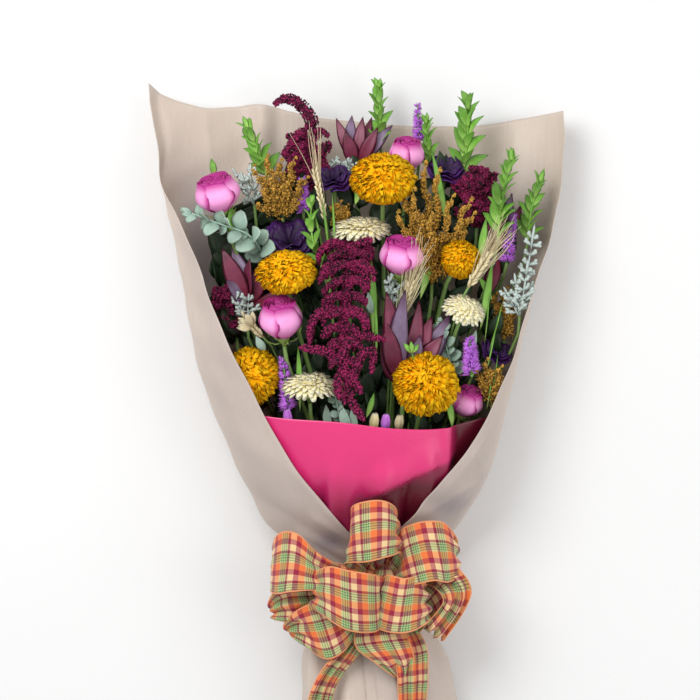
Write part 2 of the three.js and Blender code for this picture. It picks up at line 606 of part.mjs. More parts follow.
// One stem for each head, from its cut end through the tie to its foot, all held together
// as one bundle. ends lists the foot of each head, the way its stem arrives, its radius, and
// whether it is long enough to reach out below the tie.
const ends = [];
function addEnd(foot, arrival, radius, long = true) {
  ends.push({ foot, arrival: arrival.clone().normalize(), radius, long });
}
const roundHeads = [[ROSES, 0.92, 2.6], [MARIGOLDS, 0.62, 2.6], [MUMS, 0.5, 2.1], [LISIANTHUS, 0.75, 1.9]];
for (const [heads, depth, radius] of roundHeads) {
  for (const head of heads) {
    const facing = facingOf(head);
    addEnd(mm(...head.pixel, head.height).addScaledVector(facing, -head.radius * depth), facing, radius);
  }
}
for (const head of [...AMARANTHS, ...LEUCADENDRONS, ...BRONZE_SPRAYS, ...DUSTY_MILLER]) {
  const thick = Boolean(head.fingers || head.width);
  addEnd(mm(...head.foot), new THREE.Vector3(0, 1, 0.15), head.width ? 2.8 : 2, thick);
}
for (const head of [...LIATRIS, ...WHEAT, ...EUCALYPTUS, ...SPRIGS]) {
  const ahead = mm(...head.tip).sub(mm(...head.foot));
  addEnd(mm(...head.foot), ahead, head.awns ? 1.5 : 1.9, LIATRIS.includes(head));
}

// The stems stand in the bundle in a golden-angle spiral that fills this share of its radius,
// and spread by the factor at their cut ends. Near its head a stem turns to meet it, over a
// length that is a share of the way but no more than the longest turn.
const BUNDLE_FILL = 0.88;
const CUT_SPREAD = 1.75;
const TURN_SHARE = 0.15;
const LONGEST_TURN = 24;
// A stem that already arrives this straight, as a cosine, isn't turned.
const STRAIGHT = 0.97;

function stemRoutes() {
  const neck = neckCentre();
  const golden = Math.PI * (3 - Math.sqrt(5));
  const slots = ends.map((end, place) => {
    const radius = BUNDLE_RADIUS * Math.sqrt((place + 0.5) / ends.length) * BUNDLE_FILL;
    return new THREE.Vector2(radius * Math.cos(place * golden), radius * Math.sin(place * golden));
  });
  const wishes = ends.map((end, place) => {
    const away = end.foot.clone().sub(neck);
    const wish = new THREE.Vector2(away.x / away.y, (away.z / away.y - 0.22) * 1.5);
    return { place, wish: wish.multiplyScalar(BUNDLE_RADIUS * 1.8) };
  });
  wishes.sort((one, other) => other.wish.length() - one.wish.length());
  const routes = [];
  for (const { place, wish } of wishes) {
    slots.sort((one, other) => one.distanceTo(wish) - other.distanceTo(wish));
    const slot = slots.shift();
    const end = ends[place];
    const through = (along, spread) => (
      new THREE.Vector3(neck.x + slot.x * spread, neck.y + along, neck.z + slot.y * spread));
    const inBundle = NECK_LENGTH / 2 - 2;
    const start = through(inBundle, 1);
    const turn = Math.min(LONGEST_TURN, (end.foot.y - neck.y) * TURN_SHARE);
    const before = end.foot.clone().addScaledVector(end.arrival, -turn);
    const turnsIn = end.foot.clone().sub(start).normalize().dot(end.arrival) < STRAIGHT;
    routes[place] = {
      above: turnsIn ? [start, before, end.foot] : [start, end.foot],
      below: [through((NECK_PIXEL_Y - CUT_END_PIXEL_Y) * MM_PER_PIXEL, CUT_SPREAD), through(-inBundle, 1)],
    };
  }
  return routes;
}

// The bundle is one body where the twine draws it tight; above and below it the stems part.
// The margin makes them thicker, for the room that they need in the heads.
function stemPieces(margin) {
  const across = [-0.5, 0.5].map((share) => neckCentre().add(new THREE.Vector3(0, share * NECK_LENGTH, 0)));
  const bundle = rod(across, [BUNDLE_RADIUS + margin, BUNDLE_RADIUS + margin], 10);
  const pieces = stemRoutes().flatMap(({ above, below }, place) => {
    const radius = ends[place].radius;
    const wide = (values, sides) => values.map((value) => value + margin / Math.cos(Math.PI / sides));
    const foot = above[above.length - 1].clone().addScaledVector(ends[place].arrival, margin * 0.9);
    const top = [...above.slice(0, -1), foot];
    const upper = rod(top, wide([1.5, ...top.slice(1).map(() => radius * 0.95)], 4), 4);
    return ends[place].long ? [upper, rod(below, wide([radius, 1.5], 3), 3)] : [upper];
  });
  return [bundle, ...pieces];
}

const stems = wasm.Manifold.union(stemPieces(0));
const stemRoom = stemPieces(GAP).map((body) => ({ body, box: body.boundingBox() }));

// Fixed forms of a head are fused first. Each blade is then tried as it grew, and folded and
// shortened step by step until it clears what is already in place, or left out. Stems that
// pass through the head run in plain holes in it. A stalk starts the foot gap above its stem.
const FOOT_GAP = 1.1 * GAP;
const FOLDS = [[0, 1], [0.3, 0.95], [0.6, 0.88], [0.9, 0.78], [0, 0.6]];

function grow(name, fixed, blades, colour, roughness) {
  const parts = [dented(fixed.length > 1 ? wasm.Manifold.union(fixed) : fixed[0], placed)];
  for (const makeBlade of blades) {
    for (const [fold, length] of FOLDS) {
      const candidate = makeBlade(fold, length);
      if (clear(candidate, placed)) {
        parts.push(candidate);
        break;
      }
    }
  }
  const fused = parts.length > 1 ? wasm.Manifold.union(parts) : parts[0];
  const box = fused.boundingBox();
  const crossing = stemRoom.filter((stem) => (
    near(box, stem.box, 0) && fused.intersect(stem.body).volume() > 0));
  const bored = crossing.reduce((body, stem) => body.subtract(stem.body), fused);
  show(name, largest(bored).simplify(0.02), colour, roughness);
}

// The turn from a head's own frame, which opens along +Z, to its place in the bouquet.
function frameOf(head) {
  const turn = new THREE.Quaternion().setFromUnitVectors(new THREE.Vector3(0, 0, 1), facingOf(head));
  return new THREE.Matrix4().compose(mm(...head.pixel, head.height), turn, new THREE.Vector3(1, 1, 1));
}

const moved = (body, matrix) => body.transform(matrix.elements);

// The rings of a turned flower head, in shares of its radius.
const sized = (rings, size) => rings.map(([radius, height, petals, out, up, start, notch]) => (
  { radius: radius * size, height: height * size, petals, out, up: up * size, start, notch }));

// A rose: a calyx, cupped outer petals, a second layer inside them and a closed heart.
const ROSE_RINGS = [
  [0.05, -1], [0.3, -0.84], [0.66, -0.5], [0.88, -0.05, 4, 0.05, 0, 0], [1, 0.5, 4, 0.09, 0.14, 0],
  [0.76, 0.22], [0.74, 0.74, 4, 0.09, 0.1, 0.5], [0.5, 0.5], [0.42, 0.84, 3, 0.1, 0.08, 0.2], [0.14, 0.6],
];

function rose(name, head) {
  grow(name, [moved(turned(sized(ROSE_RINGS, head.radius), 12), frameOf(head))], [], 0xc95aa0, 0.6);
}

// A marigold: a green cup under four tiers of crowded ruffled petals.
const MARIGOLD_RINGS = [
  [0.06, -0.76], [0.22, -0.6], [0.66, -0.3], [0.98, -0.12, 7, 0.1, 0.06, 0], [0.78, 0.06],
  [0.9, 0.26, 7, 0.12, 0.07, 0.5], [0.6, 0.3], [0.66, 0.54, 7, 0.14, 0.07, 0], [0.34, 0.46],
  [0.36, 0.72, 7, 0.2, 0.06, 0.5], [0.1, 0.56],
];

function marigold(name, head) {
  grow(name, [moved(turned(sized(MARIGOLD_RINGS, head.radius), 14), frameOf(head))], [], 0xf29a08, 0.75);
}

// A chrysanthemum: narrow petals in two rings round a low disc, on a small cup.
const MUM_RINGS = [
  [0.06, -0.56], [0.2, -0.4], [0.98, -0.02, 12, 0.02, 0.04, 0, 0.5], [0.36, 0.1],
  [0.78, 0.34, 12, 0.02, 0, 0.5, 0.5], [0.2, 0.26],
];

function mum(name, head) {
  grow(name, [moved(turned(sized(MUM_RINGS, head.radius), 24), frameOf(head))], [], 0xf3eec2, 0.7);
}

// A dark purple lisianthus: broad ruffled petals in two layers round a small heart.
const LISIANTHUS_RINGS = [
  [0.06, -0.9], [0.26, -0.6], [0.55, -0.12], [1, 0.26, 5, 0.1, 0.16, 0], [0.6, 0.1],
  [0.66, 0.5, 5, 0.1, 0.12, 0.5], [0.3, 0.26], [0.2, 0.46],
];

function lisianthus(name, head) {
  grow(name, [moved(turned(sized(LISIANTHUS_RINGS, head.radius), 15), frameOf(head))], [], 0x3a1450, 0.7);
}

// An amaranth: plump fingers covered in florets, which stand out as relief in rows.
function amaranth(name, head) {
  const fingers = head.fingers.map((finger) => {
    const curve = new THREE.CatmullRomCurve3(finger.map(([x, y, z]) => mm(x, y, z)));
    const steps = Math.max(3, Math.round(curve.getLength() / (head.radius * 1.9)));
    const path = curve.getSpacedPoints(steps);
    const swell = (step) => Math.sin(Math.PI * (0.12 + 0.7 * step / steps));
    const radii = path.map((place, step) => head.radius * (0.34 + 0.66 * swell(step)));
    return rod(path, radii, 5, 0.22);
  });
  grow(name, fingers, [], 0x6e1236, 0.85);
}

// A leaf from its foot to its tip, as wide as given, arched by bend along up and cupped.
function strap(foot, tip, width, up, bend, cup, rows = 3) {
  const ahead = tip.clone().sub(foot);
  const across = ahead.clone().normalize().cross(up).normalize();
  const normal = across.clone().cross(ahead).normalize();
  const point = (along, side) => foot.clone().addScaledVector(ahead, along)
    .addScaledVector(across, side * width / 2 * Math.sin(Math.PI * Math.min(1, Math.max(0, along)) ** 0.8))
    .addScaledVector(normal, (bend + cup * side * side) * Math.sin(Math.PI * along));
  return blade(point, rows, 2, 1.3);
}

// A leucadendron: long leathery maroon leaves from one foot, round a narrow heart.
function leucadendron(name, head) {
  const foot = mm(...head.foot);
  const up = new THREE.Vector3(0, 0, 1);
  const heartTip = mm(...head.tips[1]).lerp(foot, 0.4);
  const start = foot.clone().add(new THREE.Vector3(0, FOOT_GAP, 0));
  const fixed = [rod([start, foot.clone().lerp(heartTip, 0.4), heartTip], [3.2, 4.6, 1], 5)];
  const blades = head.tips.map((tip) => (fold, length) => {
    const end = foot.clone().lerp(mm(...tip).lerp(heartTip, fold * 0.4), length);
    const root = foot.clone().lerp(heartTip, 0.14);
    return strap(root, end, head.width * 1.25, up, 4 * (1 - fold), 2.5);
  });
  grow(name, fixed, blades, 0x5a2038, 0.5);
}

// A liatris spike: threadlike florets all round a slim stalk, in rows that alternate.
function liatris(name, head) {
  const foot = mm(...head.foot);
  const ahead = mm(...head.tip).sub(foot);
  const start = foot.clone().addScaledVector(ahead.clone().normalize(), FOOT_GAP);
  const rows = Math.round(ahead.length() / 6.5);
  const path = [start];
  const radii = [2];
  for (let row = 0; row <= rows; row += 1) {
    path.push(start.clone().addScaledVector(ahead, 0.04 + 0.96 * row / rows));
    radii.push(head.radius * (0.95 - 0.55 * row / rows));
  }
  grow(name, [rod(path, radii, 8, 0.34)], [], 0x9a63c0, 0.8);
}

// A bronze amaranth spray: thin branches from one foot, each beaded with seed clusters.
function bronzeSpray(name, head) {
  const foot = mm(...head.foot);
  const start = foot.clone().add(new THREE.Vector3(0, FOOT_GAP, 0));
  const crown = foot.clone().add(new THREE.Vector3(0, 6, 1));
  const fixed = [rod([start, crown], [3, 2.6], 4)];
  const blades = head.tips.map((tip) => (fold, length) => {
    const end = foot.clone().lerp(mm(...tip), length);
    const arch = crown.clone().lerp(end, 0.5).add(new THREE.Vector3(0, 0, 5 * (1 - fold)));
    const curve = new THREE.CatmullRomCurve3([crown.clone().add(new THREE.Vector3(0, -2, 0)), arch, end]);
    const steps = Math.max(4, Math.round(curve.getLength() / 10));
    const path = curve.getSpacedPoints(steps);
    const radii = path.map((place, step) => (step < steps * 0.3 ? 1.3 : [3.4, 1.9][step % 2]));
    return rod(path, radii, 4, 0.12);
  });
  grow(name, fixed, blades, 0x8a6420, 0.85);
}

// An ear of bearded wheat: grains in relief round the stalk, and long awns.
function wheat(name, head) {
  const draw = seeded(head.seed);
  const foot = mm(...head.foot);
  const tip = mm(...head.tip);
  const ahead = tip.clone().sub(foot);
  const axis = ahead.clone().normalize();
  const side = axis.clone().cross(new THREE.Vector3(0, 0, 1)).normalize();
  const rows = Math.round(ahead.length() / 10);
  const path = [foot.clone().addScaledVector(axis, FOOT_GAP)];
  const radii = [1.6];
  for (let row = 0; row <= rows; row += 1) {
    path.push(foot.clone().addScaledVector(ahead, 0.06 + 0.94 * row / rows));
    radii.push(4.6 - 2.6 * row / rows);
  }
  const blades = [];
  const count = 7;
  for (let turn = 0; turn < count; turn += 1) {
    const share = 0.25 + 0.7 * turn / (count - 1);
    const hand = turn % 2 ? 1 : -1;
    const root = foot.clone().addScaledVector(ahead, share);
    const spread = draw(0.05, 0.4);
    const rise = draw(-0.15, 0.25);
    blades.push((fold, length) => {
      const lift = new THREE.Vector3(0, 0, rise * (1 - fold));
      const out = axis.clone().addScaledVector(side, hand * spread * (1 - fold)).add(lift).normalize();
      const reach = head.awns + ahead.length() * (1 - share) * 0.6;
      return spike(root, root.clone().addScaledVector(out, reach * length), 1.1);
    });
  }
  grow(name, [rod(path, radii, 6, 0.26)], blades, 0xcdb48c, 0.8);
}

// Round or pointed leaves in pairs along a thin stalk; a eucalyptus branch or a leafy sprig.
function leafyStalk(name, head, look) {
  const draw = seeded(head.seed);
  const foot = mm(...head.foot);
  const tip = mm(...head.tip);
  const ahead = tip.clone().sub(foot);
  const axis = ahead.clone().normalize();
  const side = axis.clone().cross(new THREE.Vector3(0, 0, 1)).normalize();
  const up = side.clone().cross(axis);
  const start = foot.clone().addScaledVector(axis, FOOT_GAP);
  const middle = foot.clone().addScaledVector(ahead, 0.5).addScaledVector(up, 2);
  const stalk = rod([start, middle, tip], [2, 1.6, 0.8], 4);
  const blades = [];
  const pairs = head.pairs ?? SPRIG_PAIRS;
  for (let pair = 0; pair < pairs; pair += 1) {
    for (const hand of [-1, 1]) {
      const share = 0.1 + 0.86 * (pair + (hand > 0 ? 0.4 : 0)) / pairs;
      const swing = draw(-0.35, 0.35) + (pair % 2 ? look.roll : 0);
      const size = head.leaf * (1 - look.taper * share) * draw(0.9, 1.1);
      blades.push((fold, length) => {
        const root = foot.clone().addScaledVector(ahead, share)
          .addScaledVector(up, 1.6 * Math.sin(Math.PI * share));
        const out = side.clone().multiplyScalar(hand * Math.cos(swing) * (1 - fold * 0.5))
          .addScaledVector(up, Math.sin(swing) + 0.15).addScaledVector(axis, look.lean + fold).normalize();
        const end = root.clone().addScaledVector(out, size * length * look.long);
        const point = (along, across) => {
          const shape = Math.sin(Math.PI * Math.min(1, Math.max(0, along)) ** look.blunt);
          return root.clone().lerp(end, along)
            .addScaledVector(up, (look.curl - 1.2 * across * across) * Math.sin(Math.PI * along))
            .addScaledVector(axis, across * size * look.wide * shape);
        };
        return blade(point, 2, 2, 1.3);
      });
    }
  }
  blades.push((fold, length) => {
    const root = tip.clone().addScaledVector(axis, -3);
    const end = tip.clone().addScaledVector(axis, head.leaf * 0.6 * length);
    return strap(root, end, head.leaf * 0.5, up, 1, 0.6, 2);
  });
  grow(name, [stalk], blades, look.colour, 0.6);
}

const SPRIG_PAIRS = 4;
const EUCALYPTUS_LOOK = {
  lean: 0.35, long: 1.35, wide: 0.5, blunt: 0.9, curl: 1.5, taper: 0.4, roll: 0.5, colour: 0x9fb3a6 };
const SPRIG_LOOK = {
  lean: 0.9, long: 1.15, wide: 0.26, blunt: 0.8, curl: 1.5, taper: 0.35, roll: 1.2, colour: 0x6f9a3c };

// Dusty miller: silvery leaves cut into lobes along a midrib.
function dustyMiller(name, head) {
  const foot = mm(...head.foot);
  const up = new THREE.Vector3(0, 0, 1);
  const start = foot.clone().add(new THREE.Vector3(0, FOOT_GAP, 0));
  const fixed = [rod([start, foot.clone().add(new THREE.Vector3(0, 6, 1))], [2.4, 2], 4)];
  const blades = head.tips.map((tip) => (fold, length) => {
    const end = foot.clone().lerp(mm(...tip), length);
    const root = foot.clone().add(new THREE.Vector3(0, 2, 0));
    const ahead = end.clone().sub(root);
    const side = ahead.clone().normalize().cross(up).normalize();
    const rows = 2 * Math.max(3, Math.round(ahead.length() / 16));
    const point = (along, across) => {
      const row = Math.round(along * rows);
      const lobe = row < 2 ? 1.6 : row % 2 ? 11 * (1 - 0.5 * along) * (1 - fold * 0.5) : 3;
      const reach = row % 2 && row > 1 ? 4 * Math.abs(across) : 0;
      const rise = 1.5 * Math.sin(Math.PI * along) - Math.abs(across);
      return root.clone().addScaledVector(ahead, along + reach / ahead.length())
        .addScaledVector(side, across * lobe).addScaledVector(up, rise);
    };
    return blade(point, rows, 2, 1.5);
  });
  grow(name, fixed, blades, 0xc4d2cc, 0.85);
}

show('kraft_wrapper', kraftBody(), 0xc9b49c, 0.7);
show('pink_paper', pinkBody(), 0xd8326c, 0.6);
show('stem_tie', neckRing(TIE_INNER, TIE_THICKNESS, 8, 0), 0xb89b6a, 0.9);
show('bow_wire', neckRing(WIRE_INNER, WIRE_THICKNESS, WIRE_LENGTH, 0), 0x2f5a33, 0.5);
show('bow_ribbon', bowBody(), 0xd98a4a, 0.8);

const eachHead = (kind, heads, make) => heads.forEach((head, place) => make(`${kind}_${place + 1}`, head));
eachHead('rose', ROSES, rose);
eachHead('marigold', MARIGOLDS, marigold);
eachHead('chrysanthemum', MUMS, mum);
eachHead('lisianthus', LISIANTHUS, lisianthus);
eachHead('amaranth', AMARANTHS, amaranth);
eachHead('leucadendron', LEUCADENDRONS, leucadendron);
eachHead('eucalyptus', EUCALYPTUS, (name, head) => leafyStalk(name, head, EUCALYPTUS_LOOK));
eachHead('wheat', WHEAT, wheat);
eachHead('liatris', LIATRIS, liatris);
eachHead('bronze_spray', BRONZE_SPRAYS, bronzeSpray);
eachHead('dusty_miller', DUSTY_MILLER, dustyMiller);
eachHead('green_sprig', SPRIGS, (name, head) => leafyStalk(name, head, SPRIG_LOOK));
show('stems', stems.simplify(0.01), 0x6b8a45, 0.7);

export default bouquet;
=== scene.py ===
"""A mixed flower bouquet that lies on its back in a kraft paper wrapper, with a pink inner paper and a
plaid ribbon bow. Metres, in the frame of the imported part: +Y from the tie to the flowers, +Z up."""

import bpy
import numpy as np
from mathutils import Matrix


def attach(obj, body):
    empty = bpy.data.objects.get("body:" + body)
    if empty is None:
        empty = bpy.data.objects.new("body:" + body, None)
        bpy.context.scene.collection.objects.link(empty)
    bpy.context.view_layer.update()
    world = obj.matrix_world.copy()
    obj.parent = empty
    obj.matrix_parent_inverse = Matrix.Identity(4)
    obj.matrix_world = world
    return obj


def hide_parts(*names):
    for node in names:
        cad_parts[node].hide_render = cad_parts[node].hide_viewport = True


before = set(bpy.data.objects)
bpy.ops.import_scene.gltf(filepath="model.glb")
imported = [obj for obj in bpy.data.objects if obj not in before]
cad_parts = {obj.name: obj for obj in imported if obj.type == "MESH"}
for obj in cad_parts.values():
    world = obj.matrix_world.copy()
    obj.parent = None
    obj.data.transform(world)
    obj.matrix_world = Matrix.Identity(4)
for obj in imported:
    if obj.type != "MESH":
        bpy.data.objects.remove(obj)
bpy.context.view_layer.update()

# Five cupped garden roses. Each has five layers of soft petals round a closed heart, on a green
# calyx with five sepals, and stands on its own stem.

# Metres to a pixel of the photograph, the pixel at the frame's zero, and metres to a millimetre.
PIXEL = 0.0011
ZERO_PIXEL = (386, 340)
MM = 0.001
ROSE_PETAL = 0.0006
SEPALS = 5
SEPAL_WIDTH = 0.0055
CALYX = np.array([0.0022, 0.003, 0.0058, 0.0075, 0.006])
ROSE_STEM = 0.0024


def named(keys, *rows):
    """The rows of a table as dictionaries, with the names of its columns."""
    return [dict(zip(keys.split(), row)) for row in rows]


# Each flower's pixel in the photograph and height in millimetres, the way that it faces, its radius in
# millimetres, its turn, and how tall it is for its width.
ROSES = named(
    "pixel height facing radius spin squat",
    ((218, 195), 96, (-0.25, 0.9, 0.35), 27, 1.45, 0.9),
    ((401, 258), 122, (0.05, 0.92, 0.38), 26, 1.15, 0.92),
    ((282, 322), 130, (-0.1, 0.9, 0.42), 26, 0.55, 1.0),
    ((407, 156), 68, (0.05, 0.9, 0.35), 21, 2.1, 1.0),
    ((466, 404), 90, (0.3, 0.8, 0.45), 20, 0.2, 1.0))
# Each layer of petals: how many, its radius, how far it wraps round, its height and its turn.
ROSE_LAYERS = [
    (5, 1.0, 0.92, 1.0, 0.0), (5, 0.84, 0.9, 1.03, 0.6), (5, 0.66, 0.9, 1.05, 0.2),
    (4, 0.46, 1.05, 1.04, 0.9), (3, 0.26, 1.3, 1.02, 0.3)]


def spot(pixel_x, pixel_y, height):
    """Points in metres from places in the photograph and heights in millimetres: the pixel's distance from
    the zero pixel times the scale."""
    x = (np.asarray(pixel_x, float) - ZERO_PIXEL[0]) * PIXEL
    y = (ZERO_PIXEL[1] - np.asarray(pixel_y, float)) * PIXEL
    return np.stack(np.broadcast_arrays(x, y, np.asarray(height, float) * MM), -1)


def unit(vectors):
    """Vectors divided by their lengths."""
    vectors = np.asarray(vectors, float)
    return vectors / np.maximum(np.linalg.norm(vectors, axis=-1, keepdims=True), 1e-12)


def linear(code):
    """An sRGB colour as the linear colour that a shader takes."""
    value = np.array([int(code[place:place + 2], 16) for place in (0, 2, 4)]) / 255
    return (*np.where(value <= 0.04045, value / 12.92, ((value + 0.055) / 1.055) ** 2.4), 1.0)


def quads(index):
    """The quads of grids of point numbers, shaped (grid, row, column)."""
    corners = [index[:, :-1, :-1], index[:, 1:, :-1], index[:, 1:, 1:], index[:, :-1, 1:]]
    return np.stack(corners, -1).reshape(-1, 4)


def lenses(grids, thickness, tint, material):
    """Petals or leaves from grids of points (leaf, row, column, 3): a front face, and a back face that lies
    one thickness behind it along the grid's normal and shares its rim."""
    normal = unit(np.cross(np.gradient(grids, axis=1), np.gradient(grids, axis=2)))
    count, rows, columns = grids.shape[:3]
    front = np.arange(count * rows * columns).reshape(count, rows, columns)
    inside = np.s_[:, 1:-1, 1:-1]
    back = front.copy()
    back[inside] = front.size + np.arange(back[inside].size).reshape(back[inside].shape)
    v, u = np.meshgrid(np.linspace(0, 1, rows), np.linspace(0, 1, columns), indexing="ij")
    uv = np.broadcast_to(np.stack([u, v], -1), (count, rows, columns, 2))
    shade = np.broadcast_to(np.reshape(tint, (-1, 1, 1)), (count, rows, columns))
    return {
        "points": np.concatenate([grids.reshape(-1, 3), (grids - normal * thickness)[inside].reshape(-1, 3)]),
        "faces": [quads(front), quads(back)[:, ::-1]],
        "uv": np.concatenate([uv.reshape(-1, 2), uv[inside].reshape(-1, 2)]),
        "tint": np.concatenate([shade.ravel(), shade[inside].ravel()]),
        "material": material,
    }


def tubes(paths, radii, sides, tint, material):
    """Closed tubes along paths (tube, step, 3): at each step a ring square to the path with its own radius,
    and a fan over each end."""
    count, steps = paths.shape[:2]
    ahead = unit(np.gradient(paths, axis=1))
    side = unit(np.cross(ahead, (0.31, 0.17, 0.94)))
    up = np.cross(ahead, side)
    angle = 2 * np.pi * np.arange(sides) / sides
    ring = side[:, :, None] * np.cos(angle)[:, None] + up[:, :, None] * np.sin(angle)[:, None]
    wide = np.broadcast_to(radii, (count, steps))
    index = np.arange(count * steps * sides).reshape(count, steps, sides)
    index = np.concatenate([index, index[..., :1]], -1)
    hubs = count * steps * sides + np.arange(count * 2).reshape(count, 2, 1) + np.zeros(sides, int)
    caps = [np.stack([hubs[:, 0], index[:, 0, 1:], index[:, 0, :-1]], -1).reshape(-1, 3),
            np.stack([hubs[:, 1], index[:, -1, :-1], index[:, -1, 1:]], -1).reshape(-1, 3)]
    v, u = np.meshgrid(np.linspace(0, 1, steps), np.arange(sides) / sides, indexing="ij")
    uv = np.broadcast_to(np.stack([u, v], -1), (count, steps, sides, 2)).reshape(-1, 2)
    shade = np.broadcast_to(np.reshape(tint, (-1, 1)), (count, 1))
    return {
        "points": np.concatenate([(paths[:, :, None] + wide[..., None, None] * ring).reshape(-1, 3),
                                  paths[:, [0, -1]].reshape(-1, 3)]),
        "faces": [quads(index)[:, ::-1], *caps],
        "uv": np.concatenate([uv, np.tile([[0.5, 0.0], [0.5, 1.0]], (count, 1))]),
        "tint": np.concatenate([np.repeat(shade, steps * sides), np.repeat(shade, 2)]),
        "material": material,
    }


def make_piece(name, surfaces, stands_for=()):
    """One mesh object from surfaces, with a UV map, a tint at each point and each surface's material."""
    starts = np.cumsum([0] + [len(surface["points"]) for surface in surfaces])
    finishes = list(dict.fromkeys(surface["material"] for surface in surfaces))
    blocks = [(block + start, finishes.index(surface["material"]))
              for surface, start in zip(surfaces, starts) for block in surface["faces"]]
    corners = np.concatenate([block.ravel() for block, _ in blocks]).astype(np.int32)
    sizes = np.concatenate([np.full(len(block), block.shape[1]) for block, _ in blocks])
    numbers = np.concatenate([np.full(len(block), number) for block, number in blocks]).astype(np.int32)
    points, uv, tint = [np.concatenate([surface[key] for surface in surfaces]).astype(np.float32)
                        for key in ("points", "uv", "tint")]
    mesh = bpy.data.meshes.new(name)
    mesh.vertices.add(len(points))
    mesh.vertices.foreach_set("co", points.ravel())
    mesh.loops.add(len(corners))
    mesh.loops.foreach_set("vertex_index", corners)
    mesh.polygons.add(len(sizes))
    mesh.polygons.foreach_set("loop_start", np.concatenate([[0], np.cumsum(sizes)[:-1]]).astype(np.int32))
    mesh.polygons.foreach_set("material_index", numbers)
    mesh.polygons.foreach_set("use_smooth", np.ones(len(sizes), bool))
    mesh.uv_layers.new(name="UVMap").data.foreach_set("uv", uv[corners].ravel())
    mesh.attributes.new("tint", "FLOAT", "POINT").data.foreach_set("value", tint)
    for finish in finishes:
        mesh.materials.append(finish)
    mesh.update(calc_edges=True)
    piece = bpy.data.objects.new(name, mesh)
    bpy.context.scene.collection.objects.link(piece)
    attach(piece, "root")
    if stands_for:
        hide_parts(*stands_for)
    return piece


def add_node(tree, kind, inputs, **settings):
    """A shader node with its settings; each input is a constant, or a socket that is linked to it."""
    made = tree.nodes.new(kind)
    for key, value in settings.items():
        setattr(made, key, value)
    for key, value in inputs.items():
        if isinstance(value, bpy.types.NodeSocket):
            tree.links.new(value, made.inputs[key])
        else:
            made.inputs[key].default_value = value
    return made


def math(tree, operation, *values):
    """The result of a Math node on constants or sockets."""
    return add_node(tree, "ShaderNodeMath", dict(enumerate(values)), operation=operation).outputs[0]


def blend(tree, share, one, other, kind="MIX"):
    """The colour between one and other at that share."""
    mixer = add_node(tree, "ShaderNodeMix", {0: share, 6: one, 7: other}, data_type="RGBA", blend_type=kind)
    return mixer.outputs[2]


def centred(tree, value):
    """A value that runs from 0 to 1, less a half."""
    return math(tree, "SUBTRACT", value, 0.5)


def smooth_share(tree, value, low, high):
    """A smooth step from 0 at low to 1 at high."""
    ends = {0: value, 1: low, 2: high, 3: 0.0, 4: 1.0}
    return add_node(tree, "ShaderNodeMapRange", ends, interpolation_type="SMOOTHSTEP").outputs[0]


def noise(tree, where, scale, detail):
    """Soft clouds from 0 to 1."""
    inputs = {"Vector": where, "Scale": scale, "Detail": detail}
    return add_node(tree, "ShaderNodeTexNoise", inputs).outputs[0]


def from_map(tree):
    """The piece's own UV map, as the outputs of a Separate XYZ node."""
    return add_node(tree, "ShaderNodeSeparateXYZ", {0: tree.nodes.new("ShaderNodeUVMap").outputs[0]}).outputs


def tint_of(tree):
    """The tint that each point of a piece was given."""
    return add_node(tree, "ShaderNodeAttribute", {}, attribute_name="tint").outputs["Fac"]


def new_group(name, colours, numbers):
    """A node group with these inputs, and with the outputs Colour and Height; its tree and its inputs."""
    tree = bpy.data.node_groups.new(name, "ShaderNodeTree")
    for side, kind, sockets in (("INPUT", "Color", colours), ("INPUT", "Float", numbers),
                                ("OUTPUT", "Color", ["Colour"]), ("OUTPUT", "Float", ["Height"])):
        for socket in sockets:
            tree.interface.new_socket(socket, in_out=side, socket_type=f"NodeSocket{kind}")
    return tree, tree.nodes.new("NodeGroupInput").outputs


def close_group(tree, colour, height):
    """Joins a group's colour and height to its outputs."""
    out = tree.nodes.new("NodeGroupOutput")
    tree.links.new(colour, out.inputs["Colour"])
    tree.links.new(height, out.inputs["Height"])
    return tree


def skin_group():
    """Petal and leaf skin: the colour runs from root to body along the leaf and to the rim at its edges,
    is lighter or darker by the tint given at each point, which on some pieces is painted light and shade,
    and has veins that fan out from the root."""
    tree, given = new_group("petal_skin", ["Root", "Body", "Rim"], ["Rim Width", "Veins", "Count", "Variety"])
    place = from_map(tree)
    across = math(tree, "MULTIPLY", centred(tree, place[0]), 2.0)
    colour = blend(tree, smooth_share(tree, place[1], 0.0, 0.6), given["Root"], given["Body"])
    reach = math(tree, "MAXIMUM", math(tree, "ABSOLUTE", across), math(tree, "POWER", place[1], 1.5))
    rim = smooth_share(tree, reach, math(tree, "SUBTRACT", 1.0, given["Rim Width"]), 1.0)
    colour = blend(tree, rim, colour, given["Rim"])
    fan = math(tree, "MULTIPLY", across, math(tree, "MULTIPLY", given["Count"], 3.1416))
    vein = math(tree, "ABSOLUTE", math(tree, "SINE", fan))
    cloud = noise(tree, tree.nodes.new("ShaderNodeTexCoord").outputs["Object"], 160.0, 4.0)
    wander = math(tree, "ADD", centred(tree, tint_of(tree)), centred(tree, cloud))
    darker = math(tree, "MULTIPLY", given["Veins"], 0.35)
    ribbed = math(tree, "MULTIPLY", math(tree, "SUBTRACT", vein, 0.6), darker)
    value = math(tree, "ADD", math(tree, "MULTIPLY_ADD", wander, given["Variety"], 1.0), ribbed)
    toned = add_node(tree, "ShaderNodeHueSaturation", {"Value": value, "Color": colour})
    height = math(tree, "MULTIPLY_ADD", vein, given["Veins"], math(tree, "MULTIPLY", cloud, 0.4))
    return close_group(tree, toned.outputs[0], height)


petal_skin = skin_group()


def new_finish(name, values):
    """A new material with these values at the inputs of its shader."""
    finish = bpy.data.materials.new(name)
    finish.use_nodes = True
    for key, value in values.items():
        finish.node_tree.nodes["Principled BSDF"].inputs[key].default_value = value
    return finish


